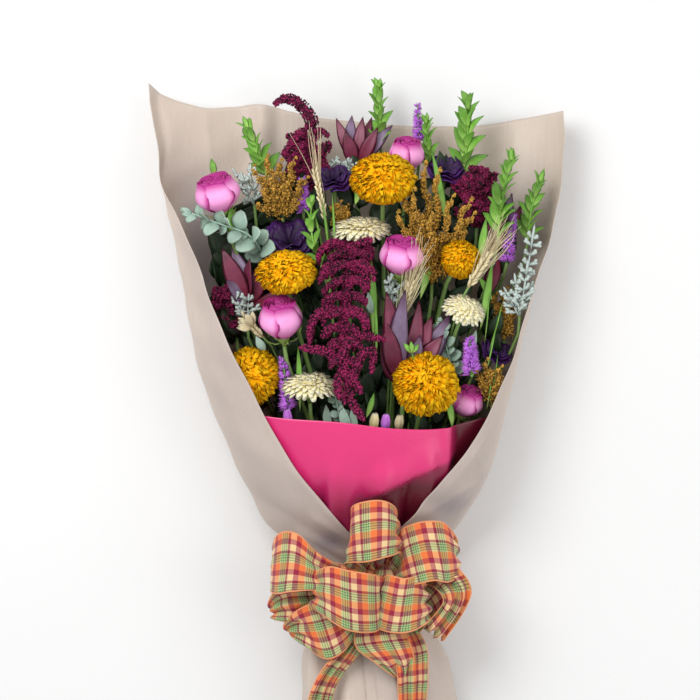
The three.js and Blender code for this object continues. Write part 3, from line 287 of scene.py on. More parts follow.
def surfaced(finish, colour, height, distance, strength):
    """The material with a colour, and with a bump whose full height is this distance in metres."""
    tree = finish.node_tree
    shader = tree.nodes["Principled BSDF"]
    tree.links.new(colour, shader.inputs["Base Color"])
    raised = add_node(tree, "ShaderNodeBump", {"Height": height, "Distance": distance, "Strength": strength})
    tree.links.new(raised.outputs[0], shader.inputs["Normal"])
    return finish


def skin(name, root, body, rim, roughness, rim_width=0.3, veins=0.4, count=9, variety=0.5, sheen=0.0,
         shine=0.5):
    """A petal or leaf material from the petal_skin group, with the veins raised by a bump."""
    finish = new_finish(name, {"Roughness": roughness, "Sheen Weight": sheen, "Specular IOR Level": shine})
    group = add_node(finish.node_tree, "ShaderNodeGroup", {
        "Root": linear(root), "Body": linear(body), "Rim": linear(rim), "Rim Width": rim_width,
        "Veins": veins, "Count": count, "Variety": variety}, node_tree=petal_skin)
    return surfaced(finish, group.outputs["Colour"], group.outputs["Height"], 0.0004, 0.6)


def turned_to(facing, spin=0.0):
    """The axes of a head as rows: its own X and Y across it, turned by spin, and Z the way that it faces."""
    ahead = unit(facing)
    side = unit(np.cross((0, 0, 1), ahead))
    up = np.cross(ahead, side)
    return np.stack([side * np.cos(spin) + up * np.sin(spin), up * np.cos(spin) - side * np.sin(spin), ahead])


def head_points(local, head):
    """Points of a head's own frame, in shares of its radius, at the head's place in the bouquet."""
    axes = turned_to(head["facing"], head.get("spin", 0.0))
    return spot(*head["pixel"], head["height"]) + local @ axes * head["radius"] * MM


def leaf_grids(roots, tips, widths, normals, bend, cup, rows, columns, blunt=1.0, wave=0.0, full=1.0):
    """Leaves from root to tip: half the width times the sine of the way along (the way to the power blunt,
    the sine to the power full), arched by bend along the normal, with edges raised by cup and waved."""
    roots, tips = np.atleast_2d(roots), np.atleast_2d(tips)
    ahead = tips - roots
    across = unit(np.cross(ahead, np.broadcast_to(normals, roots.shape)))
    raised = unit(np.cross(across, ahead))
    v = np.linspace(0.0, 1.0, rows)[None, :, None, None]
    u = np.linspace(-1.0, 1.0, columns)[None, None, :, None]
    shape = 0.04 + 0.96 * np.clip(np.sin(np.pi * v ** blunt), 0, 1) ** full
    wide = np.reshape(widths, (-1, 1, 1, 1)) / 2 * np.clip(shape, 0.03, 1.0)
    arch = np.reshape(bend, (-1, 1, 1, 1)) * np.sin(np.pi * v)
    edge = cup * wide * u ** 2 + wave * wide * np.abs(u) * np.sin(7 * v + 2.5 * u)
    return (roots[:, None, None] + ahead[:, None, None] * v + across[:, None, None] * wide * u
            + raised[:, None, None] * (arch + edge))


# Where each stem meets its head, the way that it arrives there, and its radius.
feet = []
rose_petal = skin("rose_petal", "da68b2", "f8a6de", "bf3290", 0.5, rim_width=0.4, veins=0.1, count=14,
                  variety=0.25, shine=0.3)
rose_green = skin("rose_green", "6f9140", "8aa652", "a8b968", 0.6, veins=0.2, count=3)


def rose_layer(head, count, radius, wrap, height, turn, draw):
    """A layer of cupped petals. At height share v and side share u, the angle is the petal's own plus wrap
    times u, and the radius swells from the calyx, draws in near the top, and rolls out at the rim."""
    v = np.linspace(0.0, 1.0, 15)[None, :, None]
    u = np.linspace(-1.0, 1.0, 15)[None, None, :]
    start = (np.arange(count) * 2 * np.pi / count + turn)[:, None, None]
    lean = draw.uniform(-0.05, 0.05, (count, 1, 1))
    reach = np.clip(np.sin(np.pi / 2 * np.clip(v * 1.5, 0, 1)) ** 0.75, 0.12, 1)
    angle = start + wrap * u * (0.42 + 0.58 * np.clip(v * 1.9, 0, 1))
    rounded = v * (1 - 0.13 * u ** 4 * v ** 2 - 0.05 * u ** 2 * v ** 2)
    lip = np.clip((v - 0.8) / 0.2, 0, 1) ** 2
    ruffle = 0.02 * np.sin(5 * u + start * 3) * v ** 3
    drawn = 1 - 0.4 * np.clip((v - 0.4) / 0.6, 0, 1) ** 1.6
    out = radius * (reach * drawn + 0.07 * lip + ruffle + lean * v) + 0.03 * u
    rise = -0.82 + (0.86 + 0.88 * height) * rounded * head["squat"]
    local = np.stack([out * np.cos(angle), out * np.sin(angle), rise + 0 * angle], -1)
    return lenses(head_points(local, head)[:, :, ::-1], ROSE_PETAL, draw.uniform(0.3, 0.7, count), rose_petal)


for number, head in enumerate(ROSES, 1):
    draw = np.random.default_rng(20 + number)
    layers = [rose_layer(head, *layer, draw) for layer in ROSE_LAYERS]
    ring = 2 * np.pi * np.arange(SEPALS) / SEPALS
    spokes = np.stack([np.cos(ring), np.sin(ring), 0 * ring], -1)
    hips = head_points(spokes * 0.12 + (0, 0, -0.92), head)
    ends = head_points(spokes * draw.uniform(0.5, 0.85, (SEPALS, 1)) + (0, 0, -0.62), head)
    ahead = turned_to(head["facing"])[2]
    grids = leaf_grids(hips, ends, SEPAL_WIDTH, -ahead, 0.002, 0.3, 7, 5)
    sepals = lenses(grids, ROSE_PETAL, 0.5, rose_green)
    axis = head_points(np.linspace((0, 0, -1.15), (0, 0, -0.6), len(CALYX)), head)[None]
    calyx = tubes(axis, CALYX[None], 12, 0.4, rose_green)
    make_piece(f"rose_{number}_flower", [*layers, sepals, calyx], [f"rose_{number}"])
    feet.append((axis[0, 0], ahead, ROSE_STEM))

# Five pompon marigolds: rings of broad petals that crowd out of a green cup, each frilled at its
# tip, and bent further out than the ring inside it.
# For each ring: how many petals, its angle from the axis in radians, and its reach.
MARIGOLD_RINGS = np.array([
    (5, 0.1, 0.94), (9, 0.28, 0.97), (14, 0.48, 1), (19, 0.69, 1), (23, 0.9, 1), (26, 1.11, 1),
    (27, 1.32, 1), (27, 1.53, 0.99), (25, 1.74, 0.96), (20, 1.96, 0.92)])
MARIGOLDS = named(
    "pixel height facing radius flat",
    ((383, 181), 108, (0, 0.76, 0.65), 38, 0.66),
    ((287, 274), 127, (-0.1, 0.8, 0.6), 35, 0.58),
    ((251, 377), 96, (-0.25, 0.35, 0.9), 35, 0.8),
    ((425, 385), 136, (0.08, 0.5, 0.86), 38, 0.85),
    ((460, 261), 104, (0.4, 0.6, 0.68), 24, 0.9))
FINE_PETAL = 0.0005
MARIGOLD_STEM = 0.0026
marigold_petal = skin("marigold_petal", "ff9800", "ffb400", "ffc818", 0.7, rim_width=0.4, veins=0.15, count=3,
                      variety=0.22, shine=0.1)
flower_green = skin("flower_green", "4f7a34", "6c9a48", "7fae58", 0.6, veins=0.3, count=5)


def pompon_petals(head, rings, width, draw, columns, ruffle):
    """Rings of petals from the heart of a flower. Each leaves the heart close to the axis and bends out to
    its ring's angle as it grows; it widens to a blunt tip, waved along its own normal by the ruffle."""
    each = np.repeat(rings, rings[:, 0].astype(int), axis=0)
    count = len(each)
    place = np.concatenate([np.arange(number) / number for number in rings[:, 0]])
    turn = (2 * np.pi * (place + 0.38 * each[:, 0]) + draw.normal(0, 0.06, count))[:, None, None]
    v = np.linspace(0.0, 1.0, 6)[None, :, None]
    u = np.linspace(-1.0, 1.0, columns)[None, None, :]
    polar = (each[:, 1] + draw.normal(0, 0.05, count))[:, None, None] * (0.35 + 0.65 * v ** 1.3)
    away = (each[:, 2] * draw.uniform(0.94, 1.04, count))[:, None, None] * (0.1 + 0.9 * v)
    away = away * (1 - 0.05 * u ** 2 * v)
    half = (width * draw.uniform(0.85, 1.2, count))[:, None, None]
    half = half * (0.3 + 0.7 * np.clip(v * 1.25, 0, 1)) * (1 - 0.4 * np.clip((v - 0.8) / 0.2, 0, 1) ** 2)
    wave = draw.uniform(0, 2 * np.pi, count)[:, None, None]
    frill = ruffle * np.sin(4.4 * u + wave) * v ** 1.5 + 0.6 * half * u ** 2
    out = away * np.sin(polar) - frill * np.cos(polar)
    rise = (away * np.cos(polar) + frill * np.sin(polar)) * head["flat"]
    side = half * u
    sine, cosine = np.sin(turn), np.cos(turn)
    return np.stack([out * cosine - side * sine, out * sine + side * cosine, rise], -1)


def turned(head, heights, radii, tint, material):
    """A turned body on a head's axis, with its heights and radii in shares of the head's radius."""
    axis = head_points(np.stack([0 * heights, 0 * heights, heights], -1), head)[None]
    return tubes(axis, radii[None] * head["radius"] * MM, 20, tint, material)


def cup(head, radius, low, high, material):
    """A turned green cup under a flower, from low to high along its axis."""
    profile = np.array([0.3, 0.42, 0.75, 0.95, 1.0, 0.92, 0.6])
    return turned(head, np.linspace(low, high, 7), radius * profile, 0.4, material)


def heart(head, reach, material):
    """A round body inside a flower, that closes the gaps between its petals."""
    turn = np.linspace(0.7, np.pi - 0.05, 12)
    return turned(head, -head["flat"] * reach * np.cos(turn), reach * np.sin(turn), 0.5, material)


def pompon(name, head, petals, tint, material, core, bowl):
    """A round flower: its petals, a heart inside them, and a green cup whose size is given by its radius,
    its lowest and its highest point; its stem ends a little inside the cup."""
    surfaces = [lenses(head_points(petals, head), FINE_PETAL, tint, material), heart(head, core, material),
                cup(head, *bowl, flower_green)]
    make_piece(f"{name}_flower", surfaces, [name])
    return head_points(np.array([0, 0, bowl[1] + 0.02]), head), unit(head["facing"])


for number, head in enumerate(MARIGOLDS, 1):
    draw = np.random.default_rng(40 + number)
    petals = pompon_petals(head, MARIGOLD_RINGS, 0.19, draw, 7, 0.095)
    foot = pompon(f"marigold_{number}", head, petals, draw.uniform(0.1, 0.9, len(petals)),
                  marigold_petal, 0.87, (0.34, -0.76, 0.05))
    feet.append((*foot, MARIGOLD_STEM))

# Three cream chrysanthemums: narrow blunt petals in many rings, the outer ones long and nearly
# flat and the inner ones short and upright, over a small green cup.
MUM_RINGS = np.array([
    (5, 0.12, 0.62), (9, 0.36, 0.72), (13, 0.62, 0.84), (17, 0.88, 0.93), (20, 1.14, 1), (22, 1.38, 1.03),
    (22, 1.6, 1.04)])
MUMS = named(
    "pixel height facing radius flat",
    ((361, 232), 92, (0, 0.93, 0.36), 33, 0.52),
    ((310, 388), 124, (0, 0.9, 0.43), 31, 0.52),
    ((463, 311), 116, (0.25, 0.72, 0.65), 24, 0.5))
MUM_STEM = 0.0022
mum_petal = skin("chrysanthemum_petal", "eedc6c", "fdf2b8", "fffae0", 0.65, rim_width=0.35, veins=0.2,
                 count=3, variety=0.2, shine=0.2)

for number, head in enumerate(MUMS, 1):
    draw = np.random.default_rng(60 + number)
    petals = pompon_petals(head, MUM_RINGS, 0.13, draw, 5, 0.016)
    foot = pompon(f"chrysanthemum_{number}", head, petals,
                  draw.uniform(0.2, 0.8, len(petals)), mum_petal, 0.55, (0.26, -0.56, 0.08))
    feet.append((*foot, MUM_STEM))

# Four double lisianthus in dark purple: broad petals with ruffled rims in three layers, the
# outer ones open and the inner ones crowded, with painted shade that darkens them inwards from lighter
# outer petals to nearly black inner ones.
LISIANTHUS = named(
    "pixel height facing radius",
    ((290, 242), 72, (-0.1, 0.66, 0.75), 29),
    ((333, 179), 72, (-0.1, 0.8, 0.6), 20),
    ((446, 169), 58, (0.1, 0.8, 0.6), 20),
    ((497, 351), 74, (0.4, 0.7, 0.6), 17))
LISIANTHUS_STEM = 0.002
# Each layer: how many petals, its reach, how steeply it stands in radians, and its tint, a painted
# shade that darkens the inner layers.
LISIANTHUS_LAYERS = [
    (6, 1.1, 0.35, 0.85), (6, 1.05, 0.7, 0.6), (6, 0.98, 1.0, 0.45), (6, 0.84, 1.25, 0.35),
    (5, 0.6, 1.45, 0.2)]
lisianthus_petal = skin("lisianthus_petal", "12031a", "300a44", "521676", 0.6, rim_width=0.2, veins=0.25,
                        count=12, variety=0.9)


def lisianthus_layer(head, count, reach, steep, shade, draw):
    """A layer of open petals. At share v along and u across, the angle round the axis is the petal's own
    plus a spread times u, and the petal runs v times its reach at its steepness, shorter at its corners,
    with a ruffle that grows towards the rim."""
    start = (np.arange(count) * 2 * np.pi / count + draw.uniform(0, 6.28))[:, None, None]
    v = np.linspace(0.0, 1.0, 9)[None, :, None]
    u = np.linspace(-1.0, 1.0, 13)[None, None, :]
    angle = start + 0.75 * u * (0.3 + 0.7 * np.clip(v * 1.4, 0, 1))
    tilt = steep * (1 - 0.35 * v) + draw.normal(0, 0.08, (count, 1, 1))
    far = reach * v * (1 - 0.16 * u ** 4)
    ruffle = 0.12 * np.sin(4.6 * u + 5 * start) * v ** 2
    out, rise = 0.08 + far * np.cos(tilt), -0.25 + far * np.sin(tilt) + ruffle
    local = np.stack([out * np.cos(angle), out * np.sin(angle), rise], -1)
    tint = shade + draw.uniform(-0.1, 0.1, count)
    return lenses(head_points(local, head)[:, :, ::-1], FINE_PETAL, tint, lisianthus_petal)


for number, head in enumerate(LISIANTHUS, 1):
    draw = np.random.default_rng(80 + number)
    layers = [lisianthus_layer(head, *layer, draw) for layer in LISIANTHUS_LAYERS]
    surfaces = [*layers, cup(head, 0.24, -0.88, -0.3, flower_green)]
    make_piece(f"lisianthus_{number}_flower", surfaces, [f"lisianthus_{number}"])
    feet.append((head_points(np.array([0, 0, -0.86]), head), unit(head["facing"]), LISIANTHUS_STEM))

# Four burgundy amaranths: plump branched fingers under a crust of tiny pointed florets. The
# middle one hangs down the front, with short curled side fingers all along it.

# The radii of a finger in millimetres, how much thicker the first finger is, and its curls: how many, in
# how many tiers, how far they reach in pixels, the steps of the finger between which they start, the
# least share of the reach, how far up the photograph they end for their reach, and how far they lift in
# metres. Then the fingers' routes (pixel, height).
AMARANTHS = named(
    "radii trunk curls tiers spread from nearest drop lift fingers",
    ((5.2, 2.8), 1.3, 44, 9, 28, (3, 50), 0.55, (-0.75, -0.25), (0.004, 0.013), [
        [(344, 242, 104), (350, 262, 130), (346, 300, 142), (342, 345, 146), (347, 385, 148)],
        [(348, 252, 119), (330, 262, 134), (319, 284, 138)],
        [(349, 250, 121), (364, 243, 128), (372, 240, 126)],
        [(350, 268, 132), (364, 272, 138), (368, 290, 138)],
        [(343, 312, 146), (324, 311, 152), (313, 322, 152), (310, 343, 147)],
        [(345, 316, 146), (358, 312, 152), (365, 322, 150), (366, 334, 146)],
        [(341, 357, 149), (345, 341, 154), (362, 336, 152), (385, 340, 146)],
        [(341, 362, 149), (327, 352, 152), (312, 349, 150), (300, 347, 146)],
        [(346, 374, 150), (343, 356, 155), (350, 342, 155), (357, 337, 152)],
        [(350, 384, 149), (361, 357, 152), (373, 350, 150), (371, 373, 147)],
        [(342, 368, 149), (338, 388, 152), (345, 403, 149)],
        [(345, 372, 150), (355, 382, 151), (361, 393, 148)],
        [(347, 385, 148), (352, 402, 150), (364, 420, 147)]]),
    ((8.6, 4.8), 1.0, 28, 7, 24, (10, 29), 0.3, (-0.8, -0.1), (0.0, 0.014), [
        [(312, 187.5, 42), (308, 165, 54), (305, 140, 60), (312, 122, 62), (300, 103, 62), (284, 97, 60),
         (274, 104, 58)],
        [(312, 172, 52), (294, 158, 58), (282, 150, 58)],
        [(310, 165, 54), (324, 148, 60), (331, 142, 60)],
        [(309, 158, 56), (292, 138, 62), (287, 133, 62)]]),
    ((6.4, 4.6), 1.2, 30, 8, 22, (10, 57), 0.2, (0.1, 0.9), (0.0, 0.018), [
        [(478, 225, 50), (477, 205, 62), (476, 185, 68), (478, 167, 70)],
        [(477, 205, 62), (462, 190, 66), (452, 180, 66)],
        [(476, 195, 66), (490, 180, 66), (497, 172, 66)]]),
    ((5.6, 4.0), 1.1, 14, 7, 16, (6, 57), 0.1, (0.2, 0.9), (0.0, 0.02), [
        [(236, 335, 56), (228, 315, 66), (223, 300, 68), (219, 288, 66)],
        [(230, 318, 64), (236, 302, 68), (234, 292, 68)]]))
AMARANTH_STEM = 0.002
FINGER_STEPS = 22
TRUNK_STEPS = 60
CURL_STEPS = 12
FLORETS_PER_METRE = 7200
CURL_FLORETS_PER_METRE = 6000
FLORET = 0.0013
CURL_FLORET = 0.00115
CURL_RADII = (0.0042, 0.0024)
# The length along a finger that one cluster of florets takes.
CLUSTER = 0.0036
# The way that a stem arrives at a head whose foot hides among the others.
HEADWARD = np.array([0, 1, 0.15])
# A pointed floret: three corners, its foot and its tip.
BUD = np.array([(1, 0, 0.1), (-0.5, 0.87, 0.1), (-0.5, -0.87, 0.1), (0, 0, -0.6), (0, 0, 1.5)])
BUD_FACES = np.array([(0, 1, 4), (1, 2, 4), (2, 0, 4), (1, 0, 3), (2, 1, 3), (0, 2, 3)])
amaranth_floret = skin("amaranth_floret", "74163f", "8c2252", "9c2e64", 0.8, veins=0.0, variety=1.9,
                       shine=0.3)


def along_table(table, values):
    """A smooth curve through the rows of a table whose first column grows: between two rows a cubic that
    has, at each row, the slope between its neighbours."""
    keys = table[:, 0]
    slopes = np.gradient(table[:, 1:], keys, axis=0)
    place = np.clip(np.searchsorted(keys, values, side="right") - 1, 0, len(keys) - 2)
    step = (keys[place + 1] - keys[place])[..., None]
    t = np.clip((values - keys[place])[..., None] / step, 0, 1)
    low, high = table[place, 1:], table[place + 1, 1:]
    return ((2 * t ** 3 - 3 * t ** 2 + 1) * low + (t ** 3 - 2 * t ** 2 + t) * step * slopes[place]
            + (3 * t ** 2 - 2 * t ** 3) * high + (t ** 3 - t ** 2) * step * slopes[place + 1])


def between(wanted, known, points):
    """The points at the wanted places of a path whose points are at the known ones."""
    return np.stack([np.interp(wanted, known, points[:, axis]) for axis in range(3)], -1)


def curve(points, steps):
    """Points evenly spaced along a smooth curve through the given ones."""
    table = np.column_stack([np.arange(len(points)), points])
    fine = along_table(table, np.linspace(0, len(points) - 1, 12 * len(points)))
    length = np.concatenate([[0], np.cumsum(np.linalg.norm(np.diff(fine, axis=0), axis=1))])
    return between(np.linspace(0, length[-1], steps), length, fine)


def traced(pixels, steps):
    """A smooth curve through places of the photograph, each with its height."""
    return curve(spot(*np.array(pixels, float).T), steps)


def long(path):
    """A path's length."""
    return np.linalg.norm(np.diff(path, axis=0), axis=1).sum()


def around(side, up, turn):
    """The directions from side, turned towards up."""
    return side * np.cos(turn)[:, None] + up * np.sin(turn)[:, None]


def scatter(shape, faces, places, axes, sizes, tint, material):
    """One small shape at many places, each scaled to its size and turned so that its own Z lies on its
    axis."""
    side = unit(np.cross(axes, (0.31, 0.94, 0.17)))
    placed = shape @ np.stack([side, np.cross(axes, side), axes], 1)
    numbers = faces[None] + np.arange(len(places))[:, None, None] * len(shape)
    return {
        "points": (places[:, None] + np.reshape(sizes, (-1, 1, 1)) * placed).reshape(-1, 3),
        "faces": [numbers.reshape(-1, faces.shape[1])],
        "uv": np.full((len(places) * len(shape), 2), 0.5),
        "tint": np.repeat(np.broadcast_to(tint, len(places)), len(shape)),
        "material": material,
    }


def crusted(path, radii, florets, size, draw, material, paler=0.0):
    """A finger under its crust: a slim core along the path, tinted dark as painted shade between the florets,
    and florets at its skin that lean outwards and towards the tip. Their distance from the path is the radius
    there, with lumps; their tint is painted light and shade, lighter on the tops and the outer lumps."""
    share = draw.uniform(0, 1, florets)
    steps = np.linspace(0, 1, len(path))
    middle = between(share, steps, path)
    forward = unit(between(share, steps, unit(np.gradient(path, axis=0))))
    side = unit(np.cross(forward, (0.31, 0.17, 0.94)))
    turn = draw.uniform(0, 2 * np.pi, florets)
    outward = around(side, np.cross(forward, side), turn)
    cluster = np.cos(2 * np.pi * share * long(path) / CLUSTER + turn) * np.cos(3 * turn)
    lump = 1 + 0.06 * np.sin(share * len(path) * 2.1 + 2 * turn) + 0.1 * cluster
    reach = np.interp(share, steps, radii) * lump
    lean = unit(outward + 0.5 * forward + draw.normal(0, 0.25, (florets, 3)))
    # The core's low tint paints it dark, as shade seen between the florets.
    core = tubes(path[None], radii[None] * 0.82, 8, 0.1, material)
    # Painted light and shade: florets that face up or sit on outer lumps are lighter, those facing down
    # darker.
    lit = 0.24 + paler + 0.5 * np.clip(outward[:, 2], -0.4, 1)
    lit_and_shaded = np.clip(lit + 0.2 * cluster + draw.normal(0, 0.08, florets), 0, 1)
    sizes = size * draw.uniform(0.7, 1.3, florets)
    crust = scatter(BUD, BUD_FACES, middle + outward * reach[:, None], lean, sizes, lit_and_shaded, material)
    return [core, crust]


def finger_radii(steps, wide, narrow):
    """Radii of a finger: from wide to narrow, a little less at the root, and rounded off at the tip."""
    share = np.linspace(0, 1, steps)
    root = 0.7 + 0.3 * np.clip(share * 4, 0, 1)
    tip = 1 - 0.65 * np.clip((share - 0.8) / 0.2, 0, 1) ** 1.6
    return (wide + (narrow - wide) * share) * root * tip


for number, head in enumerate(AMARANTHS, 1):
    draw = np.random.default_rng(100 + number)
    surfaces = []
    for rank, finger in enumerate(head["fingers"]):
        path = traced(finger, FINGER_STEPS)
        radii = finger_radii(FINGER_STEPS, *np.array(head["radii"]) * MM * (1 if rank else head["trunk"]))
        paler = draw.uniform(-0.05, 0.1) if rank else -0.12
        florets = int(FLORETS_PER_METRE * long(path))
        surfaces += crusted(path, radii, florets, FLORET, draw, amaranth_floret, paler)
    trunk = traced(head["fingers"][0], TRUNK_STEPS)
    for curl in range(head["curls"]):
        tier = int(curl * head["tiers"] / head["curls"])
        place = int(np.interp(tier + draw.uniform(-0.12, 0.12), (0, head["tiers"] - 1), head["from"]))
        out = head["spread"] * PIXEL * draw.uniform(head["nearest"], 1.0) * (1 - 0.5 * place / TRUNK_STEPS)
        drop = draw.uniform(*head["drop"]) * out
        lift = draw.uniform(*head["lift"])
        out *= 1 if curl % 2 else -1
        path = curve(trunk[place] + np.array([
            (0, 0, 0), (out * 0.55, -drop * 0.2, lift), (out, drop * 0.4, lift * 0.8),
            (out * 1.05, drop, lift * 0.3)]), CURL_STEPS)
        radii = finger_radii(CURL_STEPS, *CURL_RADII)
        florets = int(CURL_FLORETS_PER_METRE * long(path))
        paler = draw.uniform(-0.16, 0.16)
        surfaces += crusted(path, radii, florets, CURL_FLORET, draw, amaranth_floret, paler)
    make_piece(f"amaranth_{number}_plume", surfaces, [f"amaranth_{number}"])
    feet.append((trunk[0], HEADWARD, AMARANTH_STEM))

# Four leucadendrons: long leathery bracts round a narrow heart. They are maroon at the margins,
# and every third bract has a pale lilac painted sheen on its face.

# Where the stem ends and the tips of the bracts (pixel, height), and the bracts' width in millimetres.
LEUCADENDRONS = named(
    "foot width tips",
    ((357, 170, 40), 17, [(336, 116, 40), (352, 113, 32), (363, 115, 44), (372, 115, 34), (393, 123, 40),
     (345, 130, 52), (378, 126, 52)]),
    ((403, 395, 92), 25, [(386, 292, 130), (405, 290, 140), (419, 300, 110), (432, 316, 104),
     (450, 314, 96), (380, 345, 118), (398, 320, 126), (420, 335, 120), (384, 318, 128), (443, 335, 110)]),
    ((250, 312, 66), 21, [(222, 248, 86), (232, 246, 74), (250, 258, 84), (262, 260, 72), (226, 280, 88),
     (300, 290, 78)]),
    ((500, 262, 52), 17, [(500, 189, 60), (513, 192, 54), (523, 202, 60), (488, 205, 62), (483, 262, 66),
     (484, 225, 70), (486, 300, 70)]))
SKYWARD = np.array([0.0, 0.0, 1.0])
LEUCADENDRON_STEM = 0.0028
BRACT = 0.0011
INMOST_BRACTS = 6
INMOST_BRACT = 0.0009
INMOST_WIDTH = 0.006
INMOST_REACH = 0.012
INMOST_RING = 0.004
bract = skin("leucadendron_leaf", "983248", "843250", "58182f", 0.4, rim_width=0.4, veins=0.12, count=7,
             variety=0.6)
# Every third bract takes this lilac-grey colour as a painted sheen.
sheen_bract = skin("leucadendron_sheen", "784460", "8e7a96", "542a4a", 0.38, rim_width=0.4, veins=0.1,
                   count=7, variety=0.5)

for number, head in enumerate(LEUCADENDRONS, 1):
    draw = np.random.default_rng(120 + number)
    foot = spot(*head["foot"])
    ends = spot(*np.array(head["tips"], float).T)
    centre = foot + (ends.mean(0) - foot) * 0.6
    roots = foot + (centre - foot) * 0.15 + draw.normal(0, 0.001, ends.shape)
    count = len(ends)
    normals = np.stack([draw.normal(0, 0.35, count), draw.normal(0, 0.2, count), np.ones(count)], -1)
    wide = head["width"] * MM * draw.uniform(0.75, 1.1, count)
    arch = draw.uniform(0.05, 0.11, count) * np.linalg.norm(ends - roots, axis=1)
    grids = leaf_grids(roots, ends, wide, normals, arch, 0.22, 15, 7)
    turn = 2 * np.pi * np.arange(INMOST_BRACTS) / INMOST_BRACTS
    ring = INMOST_RING * np.stack([np.cos(turn), np.sin(turn), np.sin(turn)], -1)
    inner = centre + (0, INMOST_REACH, 0) + ring
    inmost = leaf_grids(np.repeat(roots[:1], INMOST_BRACTS, 0), inner, INMOST_WIDTH, SKYWARD, 0.001, 0.3,
                        9, 5)
    shade = draw.uniform(0.15, 0.95, count)
    sheened = np.arange(count) % 3 == 1
    surfaces = [lenses(grids[sheened], BRACT, shade[sheened], sheen_bract),
                lenses(grids[~sheened], BRACT, shade[~sheened], bract),
                lenses(inmost, INMOST_BRACT, 0.3, bract)]
    make_piece(f"leucadendron_{number}_leaves", surfaces, [f"leucadendron_{number}"])
    feet.append((foot, HEADWARD, LEUCADENDRON_STEM))

# Eucalyptus and leafy green sprigs: leaves in pairs along a thin stalk. Eucalyptus leaves are
# round, blunt and waxy grey-green; the sprigs' are pointed, bright green and clasp the stalk.

# The route of the stalk (pixel, height), the length of a leaf in millimetres, and the pairs of leaves.
EUCALYPTUS = named(
    "route leaf pairs",
    ([(268, 262, 62), (250, 236, 92), (220, 224, 98), (188, 212, 92)], 25, 9),
    ([(454, 374, 82), (447, 350, 96), (439, 322, 98)], 17, 7),
    ([(343, 432, 110), (338, 408, 120), (333, 388, 118)], 14, 6))
SPRIGS = named(
    "route leaf pairs",
    ([(381, 146, 38), (380, 110, 44), (379, 83, 42)], 26, 7),
    ([(433, 172, 44), (429, 145, 52), (427, 120, 54)], 25, 7),
    ([(463, 176, 44), (468, 140, 52), (469, 99, 52)], 34, 8),
    ([(498, 240, 78), (502, 200, 88), (512, 157, 84)], 31, 9),
    ([(528, 244, 62), (532, 210, 70), (541, 178, 68)], 27, 7),
    ([(267, 178, 48), (258, 150, 60), (246, 125, 58)], 29, 7),
    ([(322, 268, 96), (312, 235, 106), (311, 200, 98)], 24, 6))
waxy_leaf = skin("eucalyptus_leaf", "8aa896", "9fbaa9", "bdd0c2", 0.6, rim_width=0.2, veins=0.3, count=5,
                 variety=0.35)
fresh_leaf = skin("green_leaf", "b6d878", "7cb446", "5f9430", 0.5, rim_width=0.5, veins=0.45, count=5,
                  variety=0.5)
STALK_STEPS = 24
STALK_RADII = (0.0016, 0.0007)
STALK_STEM = 0.0018
SMALL_LEAF = 0.0008
CROWN_LEAF = 0.0007


def leafy(name, head, draw, material, lean, wide, full, flat, taper):
    """A stalk along its route with pairs of leaves, each pair turned across the last. The leaves point
    along the stalk by lean, more so near its tip, get smaller towards it by taper, and face up by flat."""
    path = traced(head["route"], STALK_STEPS)
    ahead = unit(np.gradient(path, axis=0))
    pairs = head["pairs"]
    share = 0.08 + 0.92 * np.repeat(np.arange(pairs) + 0.0, 2) / pairs + np.tile([0, 0.03], pairs)
    place = np.clip(share * (STALK_STEPS - 1), 0, STALK_STEPS - 1).astype(int)
    forward = ahead[place]
    side = unit(np.cross(forward, (0, 0, 1)))
    turn = np.repeat(np.where(np.arange(pairs) % 2, 0.95, 0.1), 2) + draw.normal(0, 0.25, 2 * pairs)
    outward = around(side, np.cross(side, forward), turn + np.tile([0, np.pi], pairs))
    size = head["leaf"] * MM * (1 - taper * share) * draw.uniform(0.82, 1.15, 2 * pairs)
    ahead_share = (lean * (0.65 + 0.7 * share))[:, None]
    ends = path[place] + unit(outward + forward * ahead_share) * size[:, None]
    normal = unit(forward - outward * ahead_share + np.array([0, 0, flat]))
    grids = leaf_grids(path[place] + outward * 0.0008, ends, size * wide, normal, size * 0.1, 0.2, 9, 7,
                       blunt=0.85, wave=0.05, full=full)
    tips = path[-1] + ahead[-1] * size[-1] * 0.4 + draw.normal(0, 0.0028, (3, 3))
    crown = leaf_grids(np.repeat(path[-2:-1], 3, 0), tips, size[-1] * wide * 0.55, (0.3, 0, 1), 0.0006, 0.3,
                       7, 5, blunt=0.85)
    surfaces = [tubes(path[None], np.linspace(*STALK_RADII, STALK_STEPS)[None], 8, 0.6, material),
                lenses(grids, SMALL_LEAF, draw.uniform(0.1, 0.9, 2 * pairs), material),
                lenses(crown, CROWN_LEAF, 0.8, material)]
    make_piece(f"{name}_leaves", surfaces, [name])
    feet.append((path[0], ahead[0], STALK_STEM))


for number, head in enumerate(EUCALYPTUS, 1):
    leafy(f"eucalyptus_{number}", head, np.random.default_rng(140 + number), waxy_leaf,
          lean=0.45, wide=0.88, full=0.5, flat=1.6, taper=0.35)
for number, head in enumerate(SPRIGS, 1):
    leafy(f"green_sprig_{number}", head, np.random.default_rng(160 + number), fresh_leaf,
          lean=1.45, wide=0.56, full=0.85, flat=0.9, taper=0.36)

# Four ears of bearded wheat, dried: grains in two rows up the stalk, and long stiff awns. The
# fourth is a dried head with broad straw bracts.

